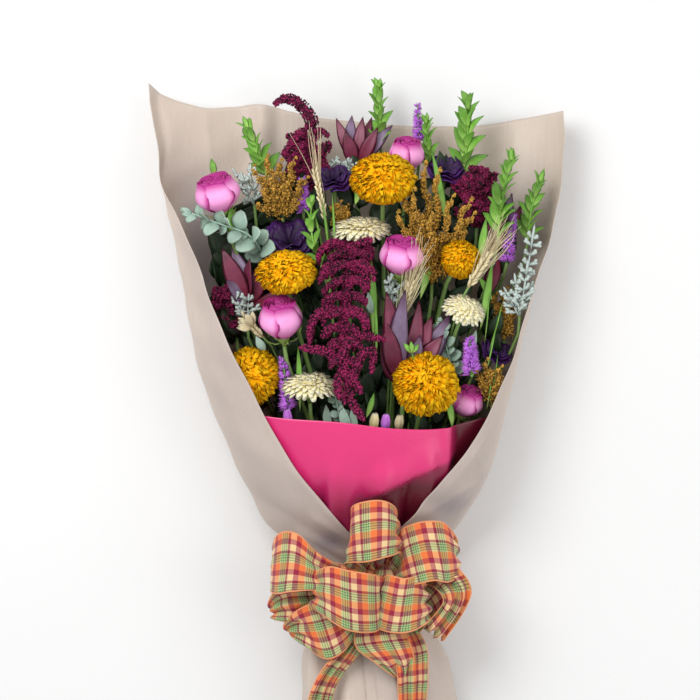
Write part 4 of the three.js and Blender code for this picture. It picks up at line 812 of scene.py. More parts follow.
# The ends of the ear (pixel, height), the length of its awns in millimetres and how many, the size of its
# grains, and how many bracts it has.
WHEAT = named(
    "foot tip awns count grain bracts",
    ((326, 222, 96), (315, 172, 102), 76, 15, 0.7, 0),
    ((397, 335, 122), (410, 285, 130), 62, 60, 1, 0),
    ((467, 289, 120), (487, 257, 122), 52, 70, 1, 0),
    ((264, 338, 96), (244, 318, 104), 12, 8, 1, 14))
WHEAT_STEM = 0.0013
EAR_RADII = (0.0014, 0.0006)
GRAINS = 18
GRAIN_LENGTH = 0.0085
GRAIN_LEAN = 0.0028
GRAIN_WIDTH = 0.0027
GRAIN_THICKNESS = 0.0022
AWN_RADII = (0.0005, 0.00018)
STRAW_BRACT = 0.0008
STRAW_BRACT_LENGTH = 0.02
STRAW_BRACT_WIDTH = 0.0075
straw = skin("wheat_ear", "c4b184", "dccfa6", "ece2c2", 0.6, veins=0.5, count=4, variety=0.4)

for number, head in enumerate(WHEAT, 1):
    draw = np.random.default_rng(180 + number)
    foot, tip = spot(*head["foot"]), spot(*head["tip"])
    axis = unit(tip - foot)
    side = unit(np.cross(axis, (0, 0, 1)))
    path = curve([foot, (foot + tip) / 2, tip], 12)
    stalk = tubes(path[None], np.linspace(*EAR_RADII, len(path))[None], 8, 0.5, straw)
    share = np.linspace(0.05, 0.97, GRAINS)
    aside = side * np.where(np.arange(GRAINS) % 2, 1, -1)[:, None]
    roots = foot + (tip - foot) * share[:, None] + aside * 0.001
    ends = roots + axis * GRAIN_LENGTH + aside * GRAIN_LEAN * head["grain"]
    ends = ends + draw.normal(0, 0.0008, (GRAINS, 3))
    grids = leaf_grids(roots, ends, GRAIN_WIDTH * head["grain"], SKYWARD, 0.0012, -0.4, 7, 5)
    grains = lenses(grids, GRAIN_THICKNESS, draw.uniform(0.2, 0.8, GRAINS), straw)
    count = head["count"]
    start = foot + (tip - foot) * draw.uniform(0.02, 1.0, (count, 1))
    spread = axis + side * draw.uniform(-0.28, 0.28, (count, 1))
    spread = spread + SKYWARD * draw.uniform(-0.12, 0.16, (count, 1))
    stop = start + unit(spread) * head["awns"] * MM * draw.uniform(0.7, 1.1, (count, 1))
    steps = np.linspace(0, 1, 7)[None, :, None]
    bent = side * draw.normal(0, 0.0018, (count, 1))
    paths = start[:, None] + (stop - start)[:, None] * steps + bent[:, None] * np.sin(np.pi * steps)
    awns = tubes(paths, np.linspace(*AWN_RADII, 7)[None], 5, draw.uniform(0.3, 0.9, count), straw)
    surfaces = [stalk, grains, awns]
    if head["bracts"]:
        turn = draw.uniform(-0.9, 0.9, head["bracts"])
        way = unit(around(axis, side, turn) + SKYWARD * draw.uniform(-0.1, 0.5, (len(turn), 1)))
        base = np.repeat(((foot + tip) / 2)[None], len(turn), 0)
        grids = leaf_grids(base, base + way * STRAW_BRACT_LENGTH, STRAW_BRACT_WIDTH, SKYWARD, 0.002, 0.4,
                           7, 5, blunt=1.5)
        surfaces.append(lenses(grids, STRAW_BRACT, draw.uniform(0.2, 0.8, len(turn)), straw))
    make_piece(f"wheat_{number}_ear", surfaces, [f"wheat_{number}"])
    feet.append((foot, axis + SKYWARD * 1.1, WHEAT_STEM))

# Five liatris spikes: a slim stalk thick with small florets, each a tuft of lilac threads.

# The ends of the spike (pixel, height), its radius in millimetres, and how steeply its stem dives.
LIATRIS = named(
    "foot tip radius dive",
    ((420, 140, 38), (418, 102, 42), 6.0, 1.3),
    ((303, 212, 62), (302, 177, 72), 7.5, 1.3),
    ((507, 264, 74), (514, 214, 76), 6.5, 1.3),
    ((471, 376, 119), (469, 338, 126), 8.5, 9),
    ((289, 412, 108), (283, 358, 112), 7.5, 1.3))
LIATRIS_STEM = 0.0018
SPIKE_RADII = (0.0018, 0.0008)
SPIKE_FLORETS = 90
FLORET_THREADS = 12
# The turn from one floret to the next round a stalk.
GOLDEN_ANGLE = 2.39996
THREAD = np.array([(1, 0, 0), (-0.5, 0.87, 0), (-0.5, -0.87, 0), (0, 0, 7)])
THREAD_FACES = np.array([(0, 2, 1), (0, 1, 3), (1, 2, 3), (2, 0, 3)])
thread_lilac = skin("liatris_floret", "b05cd4", "cc7ae6", "dda0f4", 0.7, veins=0.0, variety=0.6)

for number, head in enumerate(LIATRIS, 1):
    draw = np.random.default_rng(200 + number)
    foot, tip = spot(*head["foot"]), spot(*head["tip"])
    axis = unit(tip - foot)
    path = curve([foot, (foot + tip) / 2 + SKYWARD * 0.001, tip], 14)
    stalk = tubes(path[None], np.linspace(*SPIKE_RADII, len(path))[None], 8, 0.5, flower_green)
    share = draw.uniform(0.05, 1.0, SPIKE_FLORETS)
    side = unit(np.cross(axis, SKYWARD))
    outward = around(side, np.cross(axis, side), np.arange(SPIKE_FLORETS) * GOLDEN_ANGLE)
    reach = head["radius"] * MM * (1.05 - 0.55 * share)
    root = foot + (tip - foot) * share[:, None] + outward * reach[:, None] * 0.35
    count = SPIKE_FLORETS * FLORET_THREADS
    way = unit(np.repeat(outward, FLORET_THREADS, 0) + 0.45 * axis + draw.normal(0, 0.42, (count, 3)))
    size = np.repeat(reach * 0.17, FLORET_THREADS) * draw.uniform(0.7, 1.2, count)
    hairs = scatter(THREAD, THREAD_FACES, np.repeat(root, FLORET_THREADS, 0), way, size,
                    draw.uniform(0.1, 1, count), thread_lilac)
    cups = scatter(BUD, BUD_FACES, root, unit(outward + 0.4 * axis), reach * 0.22,
                   draw.uniform(0, 0.6, SPIKE_FLORETS), thread_lilac)
    make_piece(f"liatris_{number}_spike", [stalk, hairs, cups], [f"liatris_{number}"])
    feet.append((foot, axis + SKYWARD * head["dive"], LIATRIS_STEM))

# Five sprays of bronze amaranth: thin branches from one foot, feathered with short twigs that
# carry clusters of tiny golden-brown seeds.
BRONZE_SPRAYS = named(
    "foot tips",
    ((282, 212, 58), [(252, 166, 70), (266, 156, 78), (280, 160, 66), (294, 158, 76), (306, 178, 78),
     (262, 190, 84), (300, 200, 84), (272, 176, 90), (256, 205, 80), (286, 184, 88)]),
    ((432, 285, 76), [(398, 178, 118), (412, 190, 124), (438, 170, 100), (452, 196, 112), (470, 200, 104),
     (474, 213, 96), (430, 215, 126), (396, 212, 120), (418, 235, 126), (424, 163, 96)]),
    ((493, 402, 84), [(474, 366, 104), (485, 360, 106), (500, 367, 102), (497, 385, 104)]),
    ((505, 340, 60), [(495, 294, 66), (506, 288, 70), (515, 302, 66)]),
    ((343, 230, 62), [(332, 206, 70), (339, 202, 76), (347, 205, 70)]))
BRONZE_STEM = 0.002
BRANCH_STEPS = 20
BRANCH_RADII = (0.0011, 0.0005)
BEAD_SIZES = (0.001, 0.0018)
BEAD_SPREAD = 0.0044
TWIG_REACH = 0.0026
BEADS_PER_METRE = 6200
TWIGS = 17
seed_bronze = skin("bronze_seed", "94701e", "c4963a", "dcb650", 0.7, veins=0.0, variety=0.9)

for number, head in enumerate(BRONZE_SPRAYS, 1):
    draw = np.random.default_rng(220 + number)
    foot = spot(*head["foot"])
    surfaces = []
    for tip in head["tips"]:
        end = spot(*tip)
        path = curve([foot, (foot + end) / 2 + SKYWARD * 0.006, end], BRANCH_STEPS)
        radii = np.linspace(*BRANCH_RADII, BRANCH_STEPS)
        surfaces.append(tubes(path[None], radii, 6, 0.15, seed_bronze))
        beads = int(BEADS_PER_METRE * np.linalg.norm(end - foot))
        share = draw.uniform(0.16, 1.0, beads)
        middle = between(share, np.linspace(0, 1, BRANCH_STEPS), path)
        twig = np.round(share * TWIGS) / TWIGS
        fan = np.clip(draw.normal(0, 1, (beads, 3)), -1.7, 1.7) * (BEAD_SPREAD * (1.15 - share))[:, None]
        lumps = TWIG_REACH * np.stack([np.sin(twig * 90), np.cos(twig * 70), np.sin(twig * 50 + 1)], -1)
        way = unit(draw.normal(0, 1, (beads, 3)) + (0, 0.6, 0.4))
        surfaces.append(scatter(BUD, BUD_FACES, middle + fan + lumps, way, draw.uniform(*BEAD_SIZES, beads),
                                draw.uniform(0, 1, beads), seed_bronze))
    make_piece(f"bronze_spray_{number}_seeds", surfaces, [f"bronze_spray_{number}"])
    feet.append((foot, HEADWARD, BRONZE_STEM))

# Five stalks of dusty miller: silver felted leaves cut nearly to the midrib into blunt lobes.
DUSTY_MILLER = named(
    "foot tips",
    ((520, 318, 84), [(535, 222, 90), (528, 258, 102), (503, 286, 92), (514, 272, 98)]),
    ((254, 206, 54), [(231, 166, 66), (250, 162, 70), (240, 172, 74)]),
    ((345, 178, 44), [(331, 157, 56), (352, 157, 56)]),
    ((247, 322, 76), [(233, 291, 84), (249, 293, 88)]),
    ((392, 305, 104), [(388, 275, 118), (402, 280, 106)]))
RIB_STEPS = 30
LOBE_SPACING = 0.0125
LOBE_LENGTH = 0.0132
LOBE_WIDTHS = [0.0048, 0.0044, 0.004]
MIDRIB_WIDTHS = [0.0022, 0.0024, 0.0032]
FELT = 0.0009
DUSTY_STEM = 0.0018
felt_leaf = skin("dusty_miller_leaf", "9fb3a8", "c3d3cc", "dbe6e1", 0.9, veins=0.1, count=3, variety=0.3,
                 sheen=0.4)

for number, head in enumerate(DUSTY_MILLER, 1):
    draw = np.random.default_rng(240 + number)
    foot = spot(*head["foot"])
    roots, ends, widths = [], [], []
    for tip in head["tips"]:
        end = spot(*tip)
        path = curve([foot, (foot + end) / 2 + SKYWARD * 0.004, end], RIB_STEPS)
        ahead = unit(np.gradient(path, axis=0))
        lobes = max(4, int(np.linalg.norm(end - foot) / LOBE_SPACING))
        # The midrib in three lengths that overlap, then on each side of it lobes with two small forks.
        roots.append(path[[0, 10, 20]])
        ends.append(path[[11, 21, 29]])
        widths.append(MIDRIB_WIDTHS)
        for lobe in range(lobes):
            share = 0.2 + 0.75 * lobe / lobes
            here, along = [part[int(share * (RIB_STEPS - 1))] for part in (path, ahead)]
            for hand in (-1, 1):
                out = unit(unit(np.cross(along, SKYWARD)) * hand + along * 0.75 + draw.normal(0, 0.45, 3))
                reach = LOBE_LENGTH * (1.15 - 0.6 * share) * draw.uniform(0.6, 1.3)
                elbow = here + out * reach * 0.55
                forks = unit(out + along * 0.9) * reach * 0.6, unit(out * 1.4 - along * 0.3) * reach * 0.5
                roots.append([here, elbow, elbow])
                ends.append([here + out * reach, elbow + forks[0], elbow + forks[1]])
                widths.append(LOBE_WIDTHS)
    roots, ends, widths = np.concatenate(roots), np.concatenate(ends), np.concatenate(widths)
    grids = leaf_grids(roots, ends, widths, SKYWARD, 0.0004, -0.3, 6, 3, blunt=1.25, full=0.6)
    felt = lenses(grids, FELT, draw.uniform(0.3, 0.8, len(roots)), felt_leaf)
    make_piece(f"dusty_miller_{number}_leaves", [felt], [f"dusty_miller_{number}"])
    feet.append((foot, HEADWARD, DUSTY_STEM))

# The foliage between the heads: dark rose leaves and slender green ones that stand on the stems,
# deeper than the flowers, and fill the bunch; the dark leaves also serve as painted shade in its gaps.
# Photograph row, its left and right ends, and how many leaves stand there.
LEAF_ROWS = np.array([
    (196, 290, 480, 16), (228, 206, 518, 40), (262, 212, 514, 52), (300, 218, 506, 58), (338, 227, 497, 58),
    (372, 239, 488, 58), (405, 260, 476, 56), (436, 286, 452, 50)])
THIN_LEAF = 0.0007
LEAF_MIDDLE = 370
LOWEST_LEAF = 32
# A bud is three petals, and these are their turns round it.
BUD_TURNS = (-0.9, 0.0, 0.9)
# The broad leaves' nearly black green is part foliage colour, part painted shade for the gaps between heads.
dark_leaf_and_shade = skin("foliage_leaf", "18290f", "1f3619", "33532c", 0.45, rim_width=0.2, veins=0.5, count=6,
                 variety=0.8)
# Single leaves and buds: the root, the tip and the width.
SLENDER = [
    ((374, 345, 112), (371, 258, 118), 9), ((366, 418, 120), (374, 392, 126), 7),
    ((300, 412, 104), (298, 345, 110), 7), ((236, 240, 84), (230, 206, 92), 16),
    ((330, 300, 88), (326, 246, 92), 8), ((480, 330, 92), (492, 262, 96), 9),
    ((420, 300, 92), (432, 246, 96), 10), ((448, 232, 84), (432, 150, 74), 8),
    ((214, 178, 84), (211, 158, 84), 8), ((355, 205, 80), (362, 176, 84), 9),
    ((478, 262, 90), (486, 218, 92), 9), ((492, 300, 92), (478, 276, 96), 8),
    ((376, 360, 122), (375, 300, 132), 4), ((452, 428, 112), (447, 396, 116), 8),
    ((300, 335, 100), (296, 300, 100), 9), ((417, 372, 128), (410, 350, 141), 3),
    ((330, 264, 96), (322, 198, 104), 3), ((335, 262, 98), (332, 192, 106), 3),
    ((325, 262, 94), (313, 208, 100), 3), ((488, 354, 92), (503, 300, 96), 2),
    ((484, 380, 96), (497, 320, 98), 2), ((490, 404, 98), (498, 352, 98), 2),
    ((486, 412, 98), (493, 366, 98), 2), ((484, 346, 94), (489, 292, 98), 2),
    ((410, 353, 140), (403, 343, 143), 6), ((411, 353, 140), (418, 344, 141), 6),
    ((411, 353, 141), (410, 341, 144), 6)]
GREY_LEAVES = [
    ((350, 434, 118), (341, 404, 126), 12), ((356, 436, 118), (352, 406, 124), 10),
    ((330, 432, 112), (326, 404, 118), 10), ((372, 316, 116), (368, 292, 122), 9),
    ((266, 352, 96), (256, 336, 102), 10), ((470, 356, 100), (476, 330, 104), 9)]
BUDS = [((373, 431, 116), (375, 412, 122), 8, mum_petal), ((385, 432, 116), (386, 413, 122), 9, thread_lilac),
        ((398, 430, 112), (400, 414, 118), 7, straw), ((289, 428, 108), (287, 408, 112), 8, thread_lilac)]
BUD_PETAL = 0.001
BROAD_LEAVES = (0.028, 0.046)


def listed_leaves(rows, lean, draw, material):
    """Leaves from a list of root, tip and width, arched and cupped, that face up and lean to one side."""
    ends = np.array([[*spot(*root), *spot(*tip), width * MM] for root, tip, width in rows])
    grids = leaf_grids(ends[:, :3], ends[:, 3:6], ends[:, 6], (lean, 0, 1), 0.003, 0.3, 13, 7, wave=0.05)
    return lenses(grids, THIN_LEAF, draw.uniform(0.3, 0.9, len(rows)), material)


draw = np.random.default_rng(300)
rows, left, right = np.repeat(LEAF_ROWS[:, :3], LEAF_ROWS[:, 3], axis=0).T
rows = draw.normal(rows, 10)
columns = draw.uniform(left, right)
count = len(rows)
roots = spot(columns, rows, draw.uniform(LOWEST_LEAF, np.interp(rows, (230, 400), (50, 80))))
lean = np.stack([(columns - LEAF_MIDDLE) / 260 + draw.normal(0, 0.45, count), draw.uniform(0.5, 1.2, count),
                 draw.uniform(-0.2, 0.3, count)], -1)
sizes = draw.uniform(*BROAD_LEAVES, count)
normals = np.stack([draw.normal(0, 0.5, count), draw.normal(0, 0.3, count), np.ones(count)], -1)
tips = roots + unit(lean) * sizes[:, None]
# No tip stands out past the ends of its own row.
tip_rows = ZERO_PIXEL[1] - tips[:, 1] / PIXEL
left, right = [spot(np.interp(tip_rows, LEAF_ROWS[:, 0], LEAF_ROWS[:, end]), 0, 0)[:, 0] for end in (1, 2)]
tips[:, 0] = np.clip(tips[:, 0], left, right)
broad = leaf_grids(roots, tips, sizes * 0.5, normals, 0.003, 0.25, 7, 5, blunt=0.85, wave=0.08)
surfaces = [lenses(broad, THIN_LEAF, draw.uniform(0.1, 0.9, count), dark_leaf_and_shade),
            listed_leaves(SLENDER, 0.2, draw, fresh_leaf),
            listed_leaves(GREY_LEAVES, -0.2, draw, waxy_leaf)]
for root, tip, width, material in BUDS:
    for turn in BUD_TURNS:
        shift = np.array([turn * 0.0016, 0, -abs(turn) * 0.001])
        petal = leaf_grids(spot(*root) + shift, spot(*tip) + shift, width * 0.75 * MM,
                           (np.sin(turn), 0, np.cos(turn)), 0.003, -0.7, 9, 7)
        surfaces.append(lenses(petal, BUD_PETAL, 0.5 + 0.2 * turn, material))
make_piece("foliage_leaves", surfaces)

# The stems: one from each head, drawn together through the twine at the neck and cut square
# below it, inside the tail of the wrapper.
NECK_PIXEL = (378, 585)
NECK_HEIGHT = 30
BUNDLE_RADIUS = 0.0165
CUT_END_PIXEL_Y = 692
STEM_SAG = 0.016
STEM_STEPS = 24
LOWEST_STEM = 0.006
stem_green = skin("stem", "5d7d3a", "6f9147", "7a9a52", 0.5, veins=0.3, count=8, variety=0.4)

neck = spot(*NECK_PIXEL, NECK_HEIGHT)
low = np.array([neck[0], spot(0, CUT_END_PIXEL_Y, 0)[1], neck[2]])
# The stems' places in the twine, spaced as seeds in a flower, and where each stem would like to be.
places = np.arange(len(feet))
slots = around(np.array([1.0, 0.0, 0.0]), SKYWARD, places * GOLDEN_ANGLE)
slots = slots * BUNDLE_RADIUS * np.sqrt((places + 0.5) / len(feet))[:, None]
wishes = np.array([(foot - neck) / (foot - neck)[1] for foot, _, _ in feet]) - (0, 1, 0.22)
free = list(places)
routes, radii = [], []
for number in np.argsort(-np.linalg.norm(wishes, axis=1)):
    foot, arrival, radius = feet[number]
    slot = min(free, key=lambda place: np.linalg.norm(slots[place] - wishes[number] * BUNDLE_RADIUS * 2))
    free.remove(slot)
    ease = 0.8 / max(1, np.linalg.norm(arrival) - 1)
    rise = foot - unit(unit(arrival) + ease * unit(foot - neck)) * min(0.03, (foot - neck)[1] * 0.18)
    held = neck + slots[slot]
    middle = (rise + held) / 2 - SKYWARD * STEM_SAG
    route = curve([low + slots[slot] * 1.7, held - (0, 0.008, 0), held + (0, 0.008, 0), middle, rise,
                   foot + unit(arrival) * 0.002], STEM_STEPS)
    routes.append(np.maximum(route, (-1, -1, LOWEST_STEM)))
    radii.append(radius)
tint = np.random.default_rng(7).uniform(0.2, 0.8, len(routes))
stems = tubes(np.array(routes), np.outer(radii, np.linspace(0.8, 1.0, STEM_STEPS)), 8, tint, stem_green)
make_piece("stems_bunch", [stems], ["stems"])

# The twine: jute wound round the stems at the neck in close turns.
TIE_INNER = 0.018
TWINE_RADIUS = 0.0011
TWINE_TURNS = 4
TWINE_SPAN = 0.0072
twine_finish = skin("twine", "a98a55", "b99a66", "c9ac7a", 0.9, veins=0.6, count=2, variety=0.5)


def wound(turns, ring, span, steps, radius, material):
    """A cord wound round the neck: its angle grows evenly to so many turns on a ring of that radius, while
    it moves down the neck by the span of the winding, with the neck's middle at half of it."""
    share = np.linspace(0, 1, steps)
    angle = 2 * np.pi * turns * share
    path = np.stack([ring * np.cos(angle), span * (0.5 - share), ring * np.sin(angle)], -1)
    return tubes((neck + path)[None], radius, 8, 0.5, material)


twine = wound(TWINE_TURNS, TIE_INNER + TWINE_RADIUS, TWINE_SPAN, 260, TWINE_RADIUS, twine_finish)
make_piece("twine_turns", [twine], ["stem_tie"])

# The wrapper: one sheet of brown kraft paper with a satin face, rolled round the back and sides
# of the flowers, gathered at the neck and flared below it. Its left front edge laps the right.
KRAFT_GAUGE = 0.0004
KRAFT_LAP = 2.8
# Photograph row, left and right outlines, angles of the two front edges, then in millimetres
# the height of the middle and half the depth, and how square the back is.
SECTIONS = np.array([
    (100, 143, 569, 191, -11, 80, 88, 0.6), (150, 155, 568, 188, -8, 80, 88, 0.6),
    (215, 168, 556, 163, -3, 80, 87, 0.6), (300, 186, 533, 149, 10, 80, 86, 0.6),
    (380, 201, 513, 135, 20, 79, 85, 0.6), (440, 226, 500, 128, 37, 73, 78, 0.62),
    (490, 248, 482, 116, 54, 61, 65, 0.7), (530, 272, 453, 100, 66, 47, 49, 0.8),
    (560, 318, 428, 90, 84, 36, 33, 0.9), (579, 356, 400, 84, 100, 30, 24.2, 1),
    (591, 356, 400, 84, 100, 30, 24.2, 1), (612, 330, 412, 80, 100, 33, 30, 1),
    (645, 308, 436, 76, 100, 38, 38, 0.9), (700, 304, 453, 74, 100, 42, 43, 0.8),
    (765, 303, 458, 74, 100, 44, 46, 0.8)], float)
KRAFT_TOP = np.array([
    (145, 79), (156, 90), (167, 95), (185, 101), (205, 105), (222, 104), (238, 103), (250, 101), (267, 102),
    (285, 107), (315, 114), (352, 118), (394, 122), (440, 123), (482, 122), (520, 116), (565, 109)], float)

# Creases in the paper, from one place in the photograph to another: its depth in millimetres, its
# width in pixels, and 1 on the front or -1 on the back.
CREASES = [
    ((256, 498), (345, 550), -2.6, 4, 1), ((296, 532), (352, 560), 6, 4, 1),
    ((310, 516), (354, 544), 4.5, 4, 1), ((492, 470), (424, 516), 4.5, 5, 1),
    ((286, 462), (352, 540), 2.4, 6, 1), ((212, 398), (262, 500), 1.8, 6, 1),
    ((240, 380), (300, 500), -1.6, 8, 1), ((512, 400), (432, 508), 2.6, 5, 1),
    ((500, 452), (448, 524), -2.4, 4, 1), ((470, 446), (482, 500), 2.2, 5, 1),
    ((440, 486), (470, 515), -2.4, 4, 1), ((196, 230), (214, 380), -1.4, 6, 1),
    ((203, 106), (212, 190), 1.8, 6, -1), ((300, 112), (306, 200), -1.6, 7, -1),
    ((520, 118), (508, 220), 1.8, 7, -1), ((318, 640), (322, 764), 3.0, 4, 1),
    ((346, 620), (350, 764), 2.0, 5, 1), ((420, 640), (424, 764), -3.0, 4, 1),
    ((330, 606), (318, 660), -2.5, 4, 1)]


def bump(value, middle, width):
    """A smooth hump of height 1 at its middle."""
    return np.exp(-((value - middle) / width) ** 2)


def ramp(value, low, high):
    """A smooth step from 0 at low to 1 at high."""
    share = np.clip((value - low) / (high - low), 0, 1)
    return share * share * (3 - 2 * share)


def section(row, share, inset=0.0, edges=None):
    """Round the wrapper's section at a row: share runs from its left front edge, round the back, to its
    right one. Gives the pixel column, the height in millimetres and the angle, 90 at the front."""
    left, right, left_edge, right_edge, middle, half, square = np.moveaxis(along_table(SECTIONS, row), -1, 0)
    first, last = edges or (left_edge, 360 + right_edge)
    angle = first + (last - first) * share
    sine = np.sin(np.radians(angle))
    bend = np.where(sine < 0, -np.abs(sine) ** square, sine)
    column = (left + right) / 2 + ((right - left) / 2 - inset * MM / PIXEL) * np.cos(np.radians(angle))
    return column, middle + (half - inset) * bend, angle


def rows_down(table, column, bottom, steps, power=1.0):
    """The rows of a sheet, from its upper edge, which a table gives at each column, down to the bottom, in
    even shares to that power."""
    top = along_table(table, column)[..., 0]
    return top + (bottom - top) * np.linspace(0, 1, steps)[:, None] ** power


def pushed(column, height, angle, push, lowest, raised=0.0):
    """Columns and heights moved outwards by push millimetres along the section's angle, then raised, but
    nowhere below the lowest height."""
    turn = np.radians(angle)
    height = np.maximum(height + push * np.sin(turn) + raised, lowest)
    return column + push * MM / PIXEL * np.cos(turn), height


def paper_sheet(grid, tint, material, uv=None):
    """A sheet from a grid of points (row, column, 3), with its UV map in shares of the sheet or as given."""
    rows, columns = grid.shape[:2]
    u, v = uv or (np.linspace(0, 1, columns), np.linspace(0, 1, rows)[:, None])
    return {
        "points": grid.reshape(-1, 3),
        "faces": [quads(np.arange(rows * columns).reshape(1, rows, columns))],
        "uv": np.stack(np.broadcast_arrays(u, v), -1).reshape(-1, 2),
        "tint": np.broadcast_to(tint, (rows, columns)).ravel(),
        "material": material,
    }


def gauged(piece, thickness):
    """The piece as a sheet of that thickness, half of it on each side."""
    gauge = piece.modifiers.new("gauge", "SOLIDIFY")
    gauge.thickness = thickness
    gauge.offset = 0
    return piece


def paper_group():
    """Paper: two close colours mixed by the sheet's tint, which is painted shade, and by soft clouds, fine
    fibre stripes along the sheet, and small creases, which stand in the height with the clouds and the
    stripes."""
    tree, given = new_group("paper_fibres", ["Light", "Deep"], ["Fibre"])
    where = tree.nodes.new("ShaderNodeTexCoord").outputs["Object"]
    cloud = noise(tree, where, 9.0, 5.0)
    share = math(tree, "MULTIPLY_ADD", centred(tree, cloud), 0.5, tint_of(tree))
    share = add_node(tree, "ShaderNodeClamp", {0: share}).outputs[0]
    base = blend(tree, share, given["Light"], given["Deep"])
    drawn = add_node(tree, "ShaderNodeMapping", {0: where, 3: (900.0, 22.0, 900.0)})
    stripes = noise(tree, drawn.outputs[0], 1.0, 2.0)
    shade = math(tree, "MULTIPLY_ADD", centred(tree, stripes), given["Fibre"], 1.0)
    toned = add_node(tree, "ShaderNodeHueSaturation", {"Value": shade, "Color": base})
    cells = add_node(tree, "ShaderNodeTexVoronoi", {"Vector": where, "Scale": 28.0, "Randomness": 1.0},
                     feature="DISTANCE_TO_EDGE").outputs["Distance"]
    creases = math(tree, "MULTIPLY", math(tree, "MINIMUM", cells, 0.12), 0.8)
    fine = math(tree, "MULTIPLY_ADD", stripes, 0.12, creases)
    return close_group(tree, toned.outputs[0], math(tree, "MULTIPLY_ADD", cloud, 2.0, fine))


paper_fibres = paper_group()


def paper(name, light, deep, roughness, fibre, coat=0.0):
    """A paper material from the paper_fibres group, with its height raised by a bump."""
    finish = new_finish(name, {"Roughness": roughness, "Coat Weight": coat, "Coat Roughness": 0.35})
    group = add_node(finish.node_tree, "ShaderNodeGroup",
                     {"Light": linear(light), "Deep": linear(deep), "Fibre": fibre}, node_tree=paper_fibres)
    return surfaced(finish, group.outputs["Colour"], group.outputs["Height"], 0.0012, 0.55)


kraft_paper = paper("kraft_paper", "d4c4b6", "8f858a", 0.48, 0.16)

share = np.linspace(0, 1, 160)[None, :]
column, _, _ = section(np.full_like(share, 100.0), share)
row = rows_down(KRAFT_TOP, column, 762, 150, 1.02)
column, height, angle = section(row, share, -KRAFT_LAP * ramp(row, 530, 572) * (1 - share))
turn = np.radians(angle)
upper, lower = 1 - ramp(row, 330, 520), ramp(row, 602, 650)
back, front = ramp(-np.sin(turn), 0.1, 0.6), ramp(np.sin(turn), -0.1, 0.5)
# Two folds of the back panel rise and the left front edge sinks. The other forms push out and in: the
# gathers at the neck, the folds of the tail, slow waves, and the creases.
fold = 11 * bump(column, 262 + 0.05 * (row - 100), 13) * (1 - ramp(row, 120, 300)) * back
fold += 5 * bump(column, 448, 9) * (1 - ramp(row, 125, 330)) * back
fold -= 4 * bump(share, 0.045, 0.03) * upper
push = 1.5 * bump(row, 585, 34) * np.cos(turn * 17) + 3.0 * bump(row, 543, 26) * np.sin(turn * 9 + 0.6)
push += 2.4 * bump(row, 512, 24) * np.sin(row / 5.2 + turn * 3) * bump(angle, 420, 22)
push += lower * (4 * bump(angle, 150, 14) - 13 * bump(angle, 129, 9) - 6 * bump(angle, 96, 4))
push += lower * 5 * np.cos(turn * 5 + 1)
push += 0.9 * np.sin(row / 23 + 5 * share) + 0.6 * np.sin(row / 9 + 31 * share)
push += 2.6 * front * bump(row, 470, 55) * np.sin(turn * 7 + row / 45)
for start, stop, depth, width, side in CREASES:
    run, fall = np.subtract(stop, start)
    length = np.hypot(run, fall)
    along = ((column - start[0]) * run + (row - start[1]) * fall) / length ** 2
    aside = ((column - start[0]) * fall - (row - start[1]) * run) / length
    faded = ramp(along, -0.05, 0.2) * (1 - ramp(along, 0.8, 1.05)) * ramp(side * np.sin(turn), -0.05, 0.3)
    push += side * depth * np.exp(-np.abs(aside) / width) * faded
column, height = pushed(column, height, angle, push, 0.25, fold)
# Painted shade and bounced lilac light on the paper, mixed towards its darker lilac-grey: most in the
# hollows of the back and in two pockets of the front, less on the front flaps, the lower right and the tail.
shaded = back * ramp(row, 130, 250) * (bump(column, 190, 32) + 0.8 * bump(column, 540, 30))
pocket_shade = bump(column, 330, 17) * bump(row, 542, 11) + 0.6 * bump(column, 450, 20) * bump(row, 506, 12)
kraft_painted_shade = 0.04 + 0.3 * front * (1 - lower) + 0.1 * ramp(column, 400, 520) * ramp(row, 380, 520) + 0.1 * lower
kraft_painted_shade = np.clip(kraft_painted_shade + 0.85 * shaded + 0.7 * pocket_shade * front, 0, 1)
wrapper = paper_sheet(spot(column, row, height), kraft_painted_shade, kraft_paper)
kraft = gauged(make_piece("kraft_sheet", [wrapper], ["kraft_wrapper"]), KRAFT_GAUGE)

# The inner paper: a hot pink sheet with a satin face round the front of the stems. It is folded
# at the right and drawn in to the neck in deep folds.
PINK_TOP = np.array([
    (210, 402), (236, 408), (266, 415), (344, 422), (395, 428), (448, 427), (480, 419), (510, 410)], float)
PINK_INSET = 7.5
PINK_GAUGE = 0.0004
PINK_EDGES = (192.0, -12.0)
pink_paper = paper("pink_paper", "e43078", "5c061e", 0.34, 0.05, coat=0.35)

share = np.linspace(0, 1, 100)[None, :]
column, _, _ = section(np.full_like(share, 425.0), share, PINK_INSET, PINK_EDGES)
row = rows_down(PINK_TOP, column, 591, 90)
column, height, angle = section(row, share, PINK_INSET - 5.6 * ramp(row, 540, 579), PINK_EDGES)
push = -8 * ramp(column, 447, 462) * (1 - ramp(column, 470, 500)) * (1 - ramp(row, 470, 540))
push += 3.0 * bump(column, 446, 5) * (1 - ramp(row, 480, 540))
drawn_in = ramp(row, 445, 515) * (1 - ramp(row, 555, 580)) * ramp(np.sin(np.radians(angle)), 0.55, 0.85)
push += drawn_in * (5.5 * np.sin(column / 7.5 + 0.4) + 2.5 * np.sin(column / 3.7 + row / 40))
# The diagonal lap: how far each point lies below its edge, and where across the sheet it shows.
below = row - (500 - 0.49 * (column - 365))
lapped = ramp(column, 352, 380) * (1 - ramp(column, 425, 445))
push += 7 * ramp(below, -34, -2) * (1 - ramp(below, -1, 3)) * lapped
push += 0.7 * np.sin(column / 31 + row / 17)
column, height = pushed(column, height, angle, push, 3)
